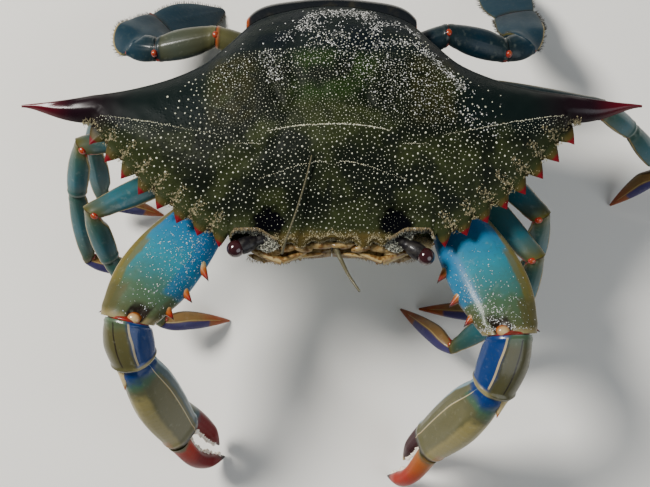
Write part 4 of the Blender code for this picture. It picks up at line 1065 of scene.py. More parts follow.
def grain_spacing(x, y, gap):
    """Distance that grains keep from each other at a place, or nothing where the shell is bare."""
    a = abs(x)
    if a > 61 or y - edge_y(x) < 1.0:
        return None
    ridge = mix(-11.3, -4.2, min(1.0, max(0.0, (a - 28.0) / 31.0)))
    if a > 25 and y > ridge:
        thin = (a - 25) / 7
        return None if thin > 2.6 or y > 11 - thin * 4 else gap * (0.7 + 0.45 * thin * thin)
    if y > -9.6:
        return None if y > (12 if x < -6 else 17) else gap * (0.66 + 0.6 * max(0.0, (y - 7) / 9) ** 2)
    return gap * mix(1.0, 1.5, min(1.0, max(0.0, a - 14) / 40))


def spread_grains(draw, gap):
    """Places on the shell's top that keep their distance, each with its spacing."""
    cell = gap * 1.7
    taken = {}
    places = []
    for _ in range(GRAIN_TRIES):
        x = draw.uniform(-62, 62)
        y = draw.uniform(-36, 28)
        if y < edge_y(x) + 0.8 or y > rear_y(x) - 1.6:
            continue
        space = grain_spacing(x, y, gap)
        if space is None:
            continue
        space *= draw.choice((1.0, 1.0, 0.55))
        key = (int(x // cell), int(y // cell))
        around = [p for i in (-1, 0, 1) for j in (-1, 0, 1) for p in taken.get((key[0] + i, key[1] + j), ())]
        if any((x - px) ** 2 + (y - py) ** 2 < (0.5 * (space + other)) ** 2 for px, py, other in around):
            continue
        taken.setdefault(key, []).append((x, y, space))
        places.append((x, y, space))
    return places


class CRAB_OT_grains(Step, bpy.types.Operator):
    """Scatters the pale grains over the shell and lines them up on its ridges"""

    bl_idname = "crab.grains"
    bl_label = "Grains"

    def build(self, scene):
        look = scene.crab_shell
        draw = random.Random(scene.crab_studio.seed)
        grains = Crowd(dome_shape())
        for x, y, space in spread_grains(draw, look.grain_gap):
            size = look.grain_half * min(1.1, space / look.grain_gap) * draw.triangular(0.5, 1.5, 0.95)
            size *= 1 - 0.5 * hollow_at(x, y)
            front = ease((y - edge_y(x) + 1.0) / 6.0)
            grains.add(stand((x, y, top_at(x, y))), top_normal(x, y), draw.uniform(0, FULL_TURN),
                       (size, size * 0.86, size * 0.75), mix(0.3, 1.0, front) * draw.uniform(0.5, 1.0))
        grains.made("shell_grains", grain_finish("crab_grain", look.grain, look.olive), "back_shell", angle=80)

        ridges = Crowd(dome_shape(6))
        paths = [(path, flip) for path in SIDE_RIDGES for flip in (-1, 1)] + [(path, 1) for path in MIDDLE_RIDGES]
        for path, flip in paths:
            run = sum((Vector(b) - Vector(a)).length for a, b in zip(path, path[1:]))
            gap, large = RIDGE_STRONG if path in MIDDLE_RIDGES else RIDGE_FAINT
            count = round(run / gap)
            for k in range(count):
                place = (k + 0.5) / count
                spot = along(path, place)
                fade = math.sin(math.pi * mix(0.06, 0.94, place)) ** 0.5
                x = flip * spot.x + draw.gauss(0, 0.08)
                y = spot.y + draw.gauss(0, 0.08)
                size = draw.uniform(0.08, 0.18) * fade * large
                ridges.add(stand((x, y, top_at(x, y) + 0.12 * fade)), top_normal(x, y),
                           draw.uniform(0, FULL_TURN), (size, size, size * 1.1), draw.uniform(0.4, 1.0))
        ridges.made("shell_ridge_grains", grain_finish("crab_ridge_grain", look.grain, look.fringe), "back_shell",
                    angle=80)


def felt_places(draw, count):
    """Places for crumbs of felt in the notches between the shell's teeth and in streaks behind them."""
    places = []
    for root, lean in VALLEYS:
        for _ in range(count):
            lie = lean
            reach = draw.uniform(-1.8, 1.2)
            if draw.random() < 0.6:
                lie = (lean + Vector((-0.9, 0))).normalized()
                reach = draw.random() ** 1.5 * 5.2 - 0.8
            wide = draw.gauss(0.1, 0.5 + 0.17 * max(0.0, 3.4 - reach))
            spot = root + lie * reach + Vector((-lie.y, lie.x)) * wide
            if root.x > SPINE_START - 0.1:
                x = SPINE_START + draw.uniform(-2.6, 2.4)
                spot = Vector((x, edge_y(x) + draw.gauss(0, 0.4)))
            if noise.noise(Vector((spot.x, spot.y, 0)) * 1.5) < 0.3 * draw.random() - 0.12:
                continue
            z = top_at(spot.x, spot.y) if spot.y > edge_y(spot.x) else draw.uniform(-0.5, 1.3)
            places.append((spot.x, spot.y, z + draw.uniform(-0.1, 0.12)))
    return places


class CRAB_OT_felt(Step, bpy.types.Operator):
    """Adds the sandy felt between the teeth of the shell's edge, in the orbits and along the front"""

    bl_idname = "crab.felt"
    bl_label = "Felt"

    def build(self, scene):
        draw = random.Random(scene.crab_studio.seed + 1)
        self.edge(scene.crab_shell, draw)
        self.webs(scene.crab_shell)
        self.orbits(scene.crab_shell, scene.crab_face, draw)

    def edge(self, look, draw):
        felt = Crowd(crumb_shape())
        for side in (-1, 1):
            for x, y, z in felt_places(draw, NOTCH_CRUMBS):
                size = draw.uniform(0.05, 0.16)
                axis = tumbled(draw)
                felt.add(stand((side * x, y, z)), axis, draw.uniform(0, FULL_TURN),
                         (size * 1.5, size, size * 0.9), draw.random() ** 1.5)
            for _ in range(FRONT_CRUMBS):
                x = draw.uniform(0, FRONT_HALF + 1)
                front = FRONT_Y - front_push(x)
                y = front + abs(draw.gauss(0, 0.9)) - 0.15
                size = draw.uniform(0.04, 0.15)
                axis = Vector((draw.gauss(0, 1), draw.gauss(0, 1), 1))
                z = top_at(x, y) if y > front + 0.5 else 0.1 + draw.uniform(-1.6, 0.4)
                felt.add(stand((side * x, y, z)), axis, 0.0, (size * 1.4, size, size), draw.random())
        felt.made("edge_felt", grain_finish("crab_felt", look.fringe, FELT_DUST, 0.7), "back_shell")

    def webs(self, look):
        """Low cushions of felt in the notches."""
        webs = []
        for side in (-1, 1):
            for root, lean in VALLEYS[:-1]:
                inner = root - lean * 0.7 + lean * 1.6
                outer = root - lean * 0.7 - lean * 0.6
                rings = []
                for k in range(9):
                    swelling = math.sin(math.pi * k / 8) ** 0.5
                    spot = inner.lerp(outer, k / 8)
                    wide = Vector((-lean.y, lean.x)) * mix(0.8, 0.9, k / 8) * (swelling + 0.01)
                    tall = 0.3 * swelling + 0.01
                    rings.append([stand((side * (spot.x + wide.x * math.cos(t)), spot.y + wide.y * math.cos(t),
                                         0.25 + tall * math.sin(t))) for t in (math.pi * i / 8 for i in range(16))])
                webs.append(lofted("web", rings))
        skin = self.wool("crab_felt_web", look.dark, look.tooth_foot, 0.4)
        dressed(joined("felt_webs", webs), skin, "back_shell")

    def orbits(self, look, face, draw):
        """Hairs, crumbs and a cushion of felt in each orbit."""
        hairs = Crowd(hair_shape())
        for side in (-1, 1):
            for _ in range(ORBIT_HAIRS):
                t = draw.uniform(0.03, 0.97)
                x = mix(FRONT_HALF, ORBIT_END, t)
                low = draw.random() < 0.62
                y = edge_y(x) + draw.uniform(-0.2, 0.3)
                z = top_at(x, edge_y(x)) - 0.1
                way = Vector((draw.gauss(0, 0.4), -1, draw.gauss(-0.25, 0.3)))
                if low:
                    y = ORBIT_LIP_Y + draw.uniform(0.1, 4.4) * math.sin(math.pi * t) ** 0.5 + 0.2
                    z = ORBIT_FLOOR + 0.2
                    way = Vector((draw.gauss(0, 0.5), draw.gauss(-0.3, 0.5), 1))
                axis = stand(way) - stand((0, 0, 0))
                axis.x *= side
                reach = draw.uniform(0.9, 2.2) if low else draw.uniform(0.5, 1.2)
                hairs.add(stand((side * x, y, z)), axis, draw.uniform(0, FULL_TURN),
                          (HAIR_HALF, HAIR_HALF, reach), draw.random())
        crumbs = Crowd(crumb_shape())
        for side in (-1, 1):
            for _ in range(ORBIT_CRUMBS):
                x = draw.uniform(13.4, 25.6) if draw.random() < 0.3 else draw.uniform(13.4, 20.2)
                deep = mix(4.6, 0.9, ease((x - 18.2) / 3.2)) * mix(0.55, 1.0, ease((x - 13) / 4))
                y = edge_y(x) + 0.3 - draw.random() * deep
                z = -0.2 - 0.42 * (edge_y(x) - y) + 0.35 * math.sin(x * 3) * math.sin(y * 4)
                size = draw.uniform(0.07, 0.2)
                axis = tumbled(draw)
                crumbs.add(stand((side * x, y, z)), axis, draw.uniform(0, FULL_TURN),
                           (size * 1.5, size, size), draw.random() ** 2)
        skin = self.wool("crab_orbit_pad", face.stalk, face.hair, 0.5)
        dressed(joined("orbit_pads", [self.pad(side) for side in (-1, 1)]), skin, "mouthparts", angle=70)
        crumbs.made("orbit_felt", grain_finish("crab_orbit_felt", look.grain, face.stalk, 0.7), "mouthparts")
        hairs.made("orbit_hair", grain_finish("crab_orbit_hair", face.cream, face.hair, 0.6), "mouthparts")

    def wool(self, name, colour, pale, size):
        skin = Finish(name, colour, roughness=0.8)
        lumps = skin.noise(size, 4)
        skin.paint(pale, lumps)
        skin.raise_by(lumps, 0.2)
        return skin.done()

    def pad(self, side):
        """Cushion of felt that fills the inner half of an orbit."""
        rings = []
        for k in range(17):
            a = math.pi * k / 16
            size = math.sin(a) ** 0.6 + 0.003
            centre = Vector((mix(13.8, 20.4, k / 16), -35.3, -2.9))
            ring = [centre + Vector((0, 2.0 * size * math.cos(t), 1.35 * size * math.sin(t) - 0.3 * size * math.cos(t)))
                    for t in (2 * math.pi * i / 24 for i in range(24))]
            rings.append([stand((side * q.x, q.y, q.z + 0.2 * noise.noise(q * 0.9))) for q in ring])
        return lofted("pad", rings)


class CRAB_OT_specks(Step, bpy.types.Operator):
    """Scatters pale specks on the rear of the shell"""

    bl_idname = "crab.specks"
    bl_label = "Specks"

    def build(self, scene):
        look = scene.crab_shell
        draw = random.Random(scene.crab_studio.seed + 2)
        specks = Crowd(crumb_shape())
        for path, reach, count in SPECK_DRIFTS:
            for _ in range(count):
                x, y = along(path, draw.uniform(0, 0.999))
                x += draw.gauss(0, reach)
                y += draw.gauss(0, reach)
                if abs(x) > 55 or y > rear_y(x) - 1.0:
                    continue
                size = draw.uniform(0.07, 0.2) * (1.25 if draw.random() < 0.15 else 1.0)
                axis = top_normal(x, y) + Vector((draw.gauss(0, 0.4), draw.gauss(0, 0.4), 0))
                specks.add(stand((x, y, top_at(x, y) + size * 0.3)), axis, draw.uniform(0, FULL_TURN),
                           (size * 1.5, size, size * 0.8), draw.random())
        specks.made("shell_specks", grain_finish("crab_speck", look.speck, SPECK_DUST, 0.5), "back_shell")


# The limbs

class Limb:
    """A chain of joints: points, directions between them and the planes where pieces meet."""

    def __init__(self, side, root, steps, out):
        self.side = side
        self.points = [stand((root[0] * -side, root[1], root[2]))]
        self.directions = []
        for size, azimuth, elevation in steps:
            if elevation is None:
                drop = self.points[-1].z - TIP_RISE
                elevation = -math.degrees(math.asin(drop / size))
            direction = heading(azimuth, elevation)
            self.directions.append(direction)
            self.points.append(self.points[-1] + direction * size)
        self.normals = [(heading(*out) + self.directions[0]).normalized()]
        for a, b in zip(self.directions, self.directions[1:]):
            self.normals.append((a + b).normalized())
        self.normals.append(self.directions[-1])

    def hinge(self, index):
        """A joint's point, and the ways up and forwards in its plane."""
        up = level_up(self.normals[index])
        return self.points[index], up, up.cross(self.normals[index]) * -self.side


def limb_rings(limb, index, shape, stations, sides, roll=0.0, last=False, detail=None):
    """Sections of one piece of a limb from joint to joint, with marks for how far along and round they are.

    detail(t, turn) gives extra height of the surface at a share of the length and a part of a turn.
    """
    fore, hind, top, bottom = shape["fore"], shape["hind"], shape["top"], shape["bottom"]
    rise = shape.get("bow", 0.0)
    corner = shape.get("corner", 1.0)
    a, b = limb.normals[index], limb.normals[index + 1]
    direction = limb.directions[index]
    start = limb.points[index] + a * GAP / 2
    end = limb.points[index + 1] - (Vector() if last else b * GAP / 2)
    if last:
        b = direction
    rings = []
    runs = []
    for k in range(stations):
        t = k / (stations - 1)
        t = mix(t, 0.5 - 0.5 * math.cos(math.pi * t), 0.45)
        facing = direction
        if t < TURN_SHARE:
            facing = a.lerp(direction, ease(t / TURN_SHARE)).normalized()
        if t > 1 - TURN_SHARE:
            facing = b.lerp(direction, ease((1 - t) / TURN_SHARE)).normalized()
        up = level_up(facing)
        lead = up.cross(facing) * -limb.side
        up, lead = (up * math.cos(roll) - lead * math.sin(roll),
                    lead * math.cos(roll) + up * math.sin(roll))
        centre = start + (end - start) * t + up * rise * 4 * t * (1 - t)
        widths = (swell(t, *fore), swell(t, *hind), swell(t, *top), swell(t, *bottom))
        ring = []
        for i in range(sides):
            angle = 2 * math.pi * i / sides
            c, s = math.cos(angle), math.sin(angle)
            x = math.copysign(abs(c) ** corner, c) * (widths[0] if c > 0 else widths[1])
            z = math.copysign(abs(s) ** corner, s) * (widths[2] if s > 0 else widths[3])
            out = lead * x + up * z
            if detail:
                out += out.normalized() * detail(t, i / sides)
            ring.append(centre + out)
        rings.append(ring)
        runs.append(t)
    return rings, round_marks(runs, sides)


def bell(value, centre, half):
    """A smooth hump on a scale that wraps round from 1 to 0."""
    apart = abs((value - centre + 0.5) % 1.0 - 0.5)
    return math.exp(-(apart / half) ** 2)


def end_rims(t, rise=0.22):
    """Raised rims beside the two joints of a piece."""
    return rise * (math.exp(-((t - 0.94) / 0.03) ** 2) + 0.6 * math.exp(-((t - 0.07) / 0.03) ** 2))


def limb_finish(name, lengthwise, bands=(), roughness=0.32, coat=0.22, wobble=0.03, pale=0.07, shine=0.25):
    """Shell of a limb: colours along it, then bands laid over them.

    A band is its place round the limb and half width, or None, then its stretch along it, colour and strength.
    """
    skin = Finish(name, roughness=roughness, coat=coat, coat_roughness=0.12, shine=shine)
    run = skin.mark("run")
    turn = skin.mark("turn")
    cloud = skin.noise(3.5, 4)
    fine = skin.noise(0.8, 4)
    shake = skin.swing(cloud, wobble * 4)
    skin.colour = skin.ramp(skin.plus(run, shake), *lengthwise)
    for place, half, (low, high), shade, strength in bands:
        shares = [skin.within(skin.plus(run, skin.times(shake, 0.5)), low, high, 0.05)]
        if place is not None:
            sway = 0.3 if half >= THIN_BAND else 0.0
            shares.append(skin.near(skin.plus(turn, skin.times(shake, sway)), place, half, half * 0.45))
        skin.paint(shade, strength, *shares)
    skin.paint(GRIME, 0.22, skin.mask(fine, 0.5, 0.75))
    skin.paint(CHALK, pale, skin.mask(skin.noise(1.7, 3), 0.58, 0.75))
    skin.raise_by(fine, 0.03)
    skin.raise_by(skin.noise(0.2, 2), 0.008)
    return skin.done(skin.plus(skin.times(cloud, 0.25), roughness - 0.1))


def thorn(name, root, tip, half, lean=Vector(), stations=12, sides=14, blunt=False):
    """A tapered spine whose tip bends along lean."""
    rings = []
    axis = (tip - root).normalized()
    side = axis.orthogonal().normalized()
    other = axis.cross(side)
    runs = [k / stations for k in range(stations + 1)]
    for t in runs:
        centre = root.lerp(tip, t) + lean * t * t
        size = half * ((1 - t ** 2.5) ** 0.5 if blunt else (1 - t) * (1 + 0.25 * (1 - t) ** 6)) + 0.05
        rings.append(oval(centre, side * size, other * size * 0.85, sides))
    return lofted(name, rings, round_marks(runs, sides))


def on_ring(ring, lean):
    """Centre of a section, and the point of its rim that lies furthest along lean."""
    centre = sum(ring, Vector()) / len(ring)
    return centre, max(ring, key=lambda p: (p - centre).dot(lean))


def thorn_finish(look):
    return limb_finish("crab_spine", ((0.0, look.palm), (0.25, look.cream), (0.5, look.knob),
                                      (0.74, look.joint), (0.95, look.night)), pale=0.0)


def joined(name, pieces):
    """Pieces made one object under a name."""
    bpy.ops.object.select_all(action="DESELECT")
    for piece in pieces:
        piece.select_set(True)
    bpy.context.view_layer.objects.active = pieces[0]
    bpy.ops.object.join()
    pieces[0].name = name
    pieces[0].data.name = name
    return pieces[0]


def claw_limbs():
    return [Limb(side, CLAW_ROOT, steps, out) for side, (out, steps, tips) in CLAW_POSES.items()]


def arm_detail(t, turn):
    """Raised outer edge, flat hollow above it and the rims of the arm's ends."""
    edge = 0.5 * bell(turn, 0.47, 0.03) - 0.3 * bell(turn, 0.40, 0.05)
    socket = -1.1 * bell(turn, 0.21, 0.05) * math.exp(-((t - 0.94) / 0.05) ** 2)
    return (edge * math.sin(math.pi * t) + end_rims(t, 0.2) + socket
            + 0.25 * bell(turn, 0.04, 0.03) * math.sin(math.pi * t))


class CRAB_OT_arms(Step, bpy.types.Operator):
    """Builds the claws' arms with their spines"""

    bl_idname = "crab.arms"
    bl_label = "Arms"

    def build(self, scene):
        look = scene.crab_claw
        shell = scene.crab_shell
        lengthwise = ((0.0, look.blue), (0.3, look.blue), (0.58, look.sea), (0.8, look.sage), (1.0, look.wrist))
        # Painted shade: the night band at 0.21 near the far end darkens the socket beside the knob, where shade falls
        bands = ((0.75, 0.17, (0.0, 1.0), look.under, 1.0), (0.95, 0.07, (0.15, 1.0), shell.tooth_foot, 0.75),
                 (0.1, 0.07, (0.0, 0.75), look.blue, 0.6), (0.49, 0.05, (0.0, 1.0), look.rim, 0.9),
                 (0.44, 0.05, (0.55, 1.0), look.rim, 0.75), (0.4, 0.06, (0.84, 1.0), look.wrist, 0.8),
                 (0.475, 0.008, (0.05, 0.97), look.cream, 0.7), (0.06, 0.05, (0.82, 1.0), look.wrist, 0.5),
                 (None, 0, (0.99, 1.0), look.cream, 0.3), (0.21, 0.045, (0.91, 0.985), look.night, 0.9))
        skin = limb_finish("crab_arm", lengthwise, bands, coat=0.1, shine=0.12)
        thorns = thorn_finish(look)
        draw = random.Random(scene.crab_studio.seed + 3)
        specks = Crowd(crumb_shape())
        for limb in claw_limbs():
            name = side_name(limb.side) + "_arm"
            rings, marks = limb_rings(limb, 0, CLAW_SHAPES["arm"], 64, 72, detail=arm_detail)
            dressed(lofted(name, rings, marks), skin, "arm_shell", side_name(limb.side) + "_claw_arm", angle=70)
            dressed(joined(name + "_spines", self.spines(limb, rings)), thorns, "arm_shell", angle=70)
            crowd = 0.52 if limb.side < 0 else 0.8
            for _ in range(ARM_SPECKS):
                t = min(0.93, max(0.05, draw.gauss(crowd, 0.17)))
                turn = min(0.44, max(0.06, draw.gauss(0.2, 0.085)))
                row = round(t * (len(rings) - 1))
                ring = rings[row]
                ahead = rings[min(row + 1, len(rings) - 1)]
                column = round(turn * len(ring)) % len(ring)
                spot = ring[column].lerp(ahead[column], draw.random())
                spot = spot + Vector((draw.gauss(0, 0.25), draw.gauss(0, 0.25), 0))
                size = draw.triangular(0.05, 0.21, 0.09)
                axis = spot - sum(ring, Vector()) / len(ring) + Vector((draw.gauss(0, 1), draw.gauss(0, 1), 0))
                specks.add(spot, axis, draw.uniform(0, FULL_TURN), (size * 1.4, size, size * 0.7), draw.random())
        specks.made("arm_specks", grain_finish("crab_arm_speck", shell.speck, ARM_DUST, 0.4), "arm_shell")

    def spines(self, limb, rings):
        direction = limb.directions[0]
        inward = Vector((-limb.side, 0, 0))
        inward = (inward - direction * inward.dot(direction)).normalized()
        size = (limb.points[1] - limb.points[0]).length
        pieces = []
        for k, (place, height, lean) in enumerate(ARM_SPINES):
            middle, rim = on_ring(rings[round(place * (len(rings) - 1))], inward)
            centre = limb.points[0] + direction * place * size
            reach = (rim - centre).dot(inward)
            way = (inward + direction * lean).normalized()
            root = middle.lerp(rim, 0.72)
            tip = centre + inward * reach + way * height
            pieces.append(thorn(f"spine_{k}", root, tip, ARM_SPINE_HALF * 1.6, direction * 0.5))
        centre, rim = on_ring(rings[-6], -inward)
        pieces.append(thorn("end_spine", rim.lerp(centre, 0.35) - direction, rim + direction * 1.9,
                            ARM_SPINE_HALF))
        centre, rim = on_ring(rings[round(0.3 * (len(rings) - 1))], inward)
        pieces.append(thorn("near_spine", rim.lerp(centre, 0.3), rim + (inward + direction) * 0.9,
                            ARM_SPINE_HALF * 0.8))
        return pieces


def wrist_detail(t, turn):
    fade = math.sin(math.pi * mix(0.06, 0.94, t))
    step = 0.5 * bell(turn, 0.245, 0.018) - 0.6 * bell(turn, 0.13, 0.07) - 0.12 * bell(turn, 0.335, 0.008)
    return end_rims(t, 0.35) + step * fade


def palm_detail(t, turn):
    """Lengthwise keels with hollows between, and fine cross wrinkles on the outer facet."""
    fade = math.sin(math.pi * mix(0.12, 0.9, t))
    keels = sum(bell(turn, place, 0.014) for place in PALM_KEELS)
    hollows = sum(bell(turn, place, 0.035) for place in (0.05, 0.185))
    wrinkle = 0.09 * math.sin(t * 120 + 9 * turn) * bell(turn, 0.18, 0.05) * (1 - t) * ease(t * 6)
    return (0.18 * keels - 0.22 * hollows) * fade + wrinkle + end_rims(t, 0.3)


class CRAB_OT_hands(Step, bpy.types.Operator):
    """Builds the claws' wrists, palms and fingers"""

    bl_idname = "crab.hands"
    bl_label = "Hands"

    def build(self, scene):
        look = scene.crab_claw
        lengthwise = ((0.0, look.sage), (0.2, look.wrist), (1.0, look.wrist))
        # The cream line at 0.228 beside the ridge is a pale line and partly a painted highlight; the night line at
        # 0.335 is painted shade in the groove
        bands = ((0.09, 0.12, (0.0, 1.0), look.deep, 1.0), (0.228, 0.006, (0.08, 0.85), look.cream, 0.75),
                 (0.75, 0.16, (0.0, 1.0), look.under, 0.9), (0.335, 0.004, (0.1, 0.85), look.night, 0.8),
                 (0.1, 0.13, (0.94, 1.0), look.palm, 0.95))
        wrist_skin = limb_finish("crab_wrist", lengthwise, bands, coat=0.4)
        spur = limb_finish("crab_spur", ((0.0, look.sage), (0.3, look.cream), (0.75, look.cream), (0.9, look.knob),
                                         (1.0, look.joint)), pale=0.0)
        ivory = Finish("crab_finger_tooth", look.ivory, roughness=0.3, coat=0.5)
        ivory.raise_by(ivory.noise(0.4, 3), 0.03)
        ivory.paint(look.cream, ivory.mask(ivory.noise(0.9, 3), 0.5, 0.8))
        ivory = ivory.done()
        for limb, (out, steps, tips) in zip(claw_limbs(), CLAW_POSES.values()):
            side = side_name(limb.side)
            rings, marks = limb_rings(limb, 1, CLAW_SHAPES["wrist"], 44, 64, detail=wrist_detail)
            dressed(lofted(side + "_wrist", rings, marks), wrist_skin, "claw_shell", side + "_claw_wrist", angle=70)
            centre, rim = on_ring(rings[-5], Vector((limb.side, 0, WRIST_SPINE_LIFT)))
            way = (limb.directions[1] + limb.directions[2]).normalized()
            way = (way + Vector((0, 0, WRIST_SPINE_LIFT))).normalized()
            spike = thorn(side + "_wrist_spine", rim.lerp(centre, 0.5) + way,
                          rim + way * WRIST_SPINE_REACH - Vector((limb.side * 1.6, 0, 0)), WRIST_SPINE_HALF)
            dressed(spike, spur, "claw_shell", angle=70)
            self.hand(look, limb, side, tips, ivory)

    def palm_skin(self, look, side):
        facet, edge, row = (look.slate, 0.03, 1) if side < 0 else (look.palm_dark, 0.055, 2)
        lengthwise = ((0.0, look.deep), (0.08, look.deep), (0.15, look.sage), (0.22, look.palm_dark),
                      (0.28, look.palm), (1.0, look.palm))
        bands = ((0.03, 0.078, (0.2, 1.0), look.palm_dark, 0.9), (0.89, 0.062, (0.1, 1.0), facet, 0.95),
                 (0.8, 0.07, (0.0, 1.0), look.under, 0.9), (0.6, 0.15, (0.1, 1.0), look.cream, 0.9),
                 (0.36, edge, (0.1, 1.0), look.cream, 0.85), (0.3, 0.08, (0.86, 1.0), look.knob, 0.5),
                 (0.1, 0.16, (0.985, 1.0), look.night, 0.8))
        return limb_finish(f"crab_palm_{row}", lengthwise, bands, roughness=0.36)

    def finger_skin(self, name, *lengthwise):
        return limb_finish(name, lengthwise, roughness=0.3, coat=0.0, wobble=0.05, pale=0.0, shine=0.12)

    def hand(self, look, limb, side, tips, ivory):
        axis = limb.directions[2]
        level = level_up(axis)
        outward = level.cross(axis) * limb.side
        up = (level * math.cos(CLAW_ROLL) + outward * math.sin(CLAW_ROLL)).normalized()
        end = limb.points[3]
        rings, marks = limb_rings(limb, 2, CLAW_SHAPES["palm"], 72, 84, roll=CLAW_ROLL, detail=palm_detail)
        palm = lofted(side + "_palm", rings, marks)
        dressed(palm, self.palm_skin(look, limb.side), "claw_shell", side + "_claw_palm", angle=70)
        near, middle = (look.orange, look.crimson) if limb.side < 0 else (look.knob, look.orange)
        thumb_red, thumb_end = (look.crimson, look.night) if limb.side < 0 else (look.plum, look.cream)
        tip, thumb_tip = (Vector(point) for point in tips)
        hinge = end + up * FINGER_RISE + axis * GAP / 2
        way = (tip - hinge).normalized()
        inner = (-up + way * up.dot(way)).normalized()
        finger_rows, marks = finger_rings(hinge, tip, up, FINGER_BOW, FINGER_BASE, axis)
        finger = lofted(side + "_finger", finger_rows, marks)
        skin = self.finger_skin(side + "_finger_skin", (0.0, look.palm_dark), (0.1, near), (0.45, middle),
                                (0.82, middle), (0.95, look.night), (1.0, look.night))
        dressed(finger, skin, "finger_shell", side + "_claw_finger", angle=70)
        start = end - up * THUMB_DROP - axis * THUMB_ROOT
        thumb_rows, marks = finger_rings(start, thumb_tip, up, THUMB_BOW, THUMB_BASE)
        thumb = lofted(side + "_thumb", thumb_rows, marks)
        skin = self.finger_skin(side + "_thumb_skin", (0.0, look.palm), (0.24, look.slate), (0.34, thumb_red),
                                (0.46, thumb_red), (0.88, thumb_red), (1.0, thumb_end))
        dressed(thumb, skin, "finger_shell", angle=70)
        teeth = self.teeth(finger_rows, inner, 0.14, 5 + limb.side)
        teeth += self.teeth(thumb_rows, -inner, 0.42, 9 + limb.side)
        dressed(joined(side + "_finger_teeth", teeth), ivory, "finger_shell", angle=70)

    def teeth(self, rows, inner, first, seed):
        """Blunt teeth along a finger's inner edge, larger near the hinge, every third one large."""
        draw = random.Random(seed)
        pieces = []
        for k in range(FINGER_TEETH):
            t = mix(first, 0.9, k / (FINGER_TEETH - 1))
            ring = rows[round(t * (len(rows) - 1))]
            centre, rim = on_ring(ring, inner)
            size = mix(1.5, 0.8, t) * (1.25 if k % 3 == 1 else 0.85) * draw.uniform(0.9, 1.1)
            root = rim.lerp(centre, 0.3)
            tooth = thorn(f"tooth_{k}", root, rim + inner * FINGER_TOOTH * 0.7 * size, FINGER_TOOTH * 0.62 * size,
                          stations=7, sides=12, blunt=True)
            pieces.append(tooth)
        return pieces


def finger_rings(start, end, up, bow, base, facing=None, stations=48, sides=36):
    """Sections of a bowed, pointed finger with a groove along each side."""
    rings = []
    run = end - start
    runs = [k / stations for k in range(stations + 1)]
    for t in runs:
        late = t ** FINGER_LEAN
        centre = start + run * t + up * bow * math.sin(math.pi * late) * (1 - FINGER_HOOK * t)
        point = max(0.0, (t - FINGER_POINT[0]) / (1 - FINGER_POINT[0])) ** FINGER_POINT[1]
        size = mix(1 - FINGER_NARROWS * t, FINGER_TIP / base[0], point)
        tangent = (run + up * bow * math.pi * math.cos(math.pi * late)).normalized()
        if facing is not None:
            tangent = facing.lerp(tangent, ease(t / 0.15)).normalized()
        high = (up - tangent * up.dot(tangent)).normalized()
        wide = tangent.cross(high)
        ring = []
        for i in range(sides):
            angle = 2 * math.pi * i / sides
            turn = i / sides
            groove = 1 - 0.10 * (bell(turn, 0.0, 0.05) + bell(turn, 0.5, 0.05)) * math.sin(math.pi * t) ** 0.5
            keel = 1 + 0.06 * (bell(turn, 0.25, 0.05) + bell(turn, 0.75, 0.04))
            ring.append(centre + (wide * base[1] * math.cos(angle) * groove
                                  + high * base[0] * math.sin(angle) * keel) * size)
        rings.append(ring)
    return rings, round_marks(runs, sides)


def leg_limbs():
    return {(side, number): Limb(side, LEG_ROOTS[number], steps, out)
            for (side, number), (out, steps) in LEG_POSES.items()}


def leg_detail(piece):
    """Keels and hollows of a leg's piece."""
    def detail(t, turn):
        fade = math.sin(math.pi * mix(0.08, 0.92, t))
        if piece == "dactyl":
            fade = (1 - t) * 0.8
        keels = 0.16 * (bell(turn, 0.03, 0.02) + bell(turn, 0.47, 0.02) + bell(turn, 0.25, 0.015))
        hollows = 0.16 * (bell(turn, 0.14, 0.05) + bell(turn, 0.36, 0.05))
        return (keels - hollows) * fade + (0.0 if piece == "dactyl" else end_rims(t, 0.16))
    return detail


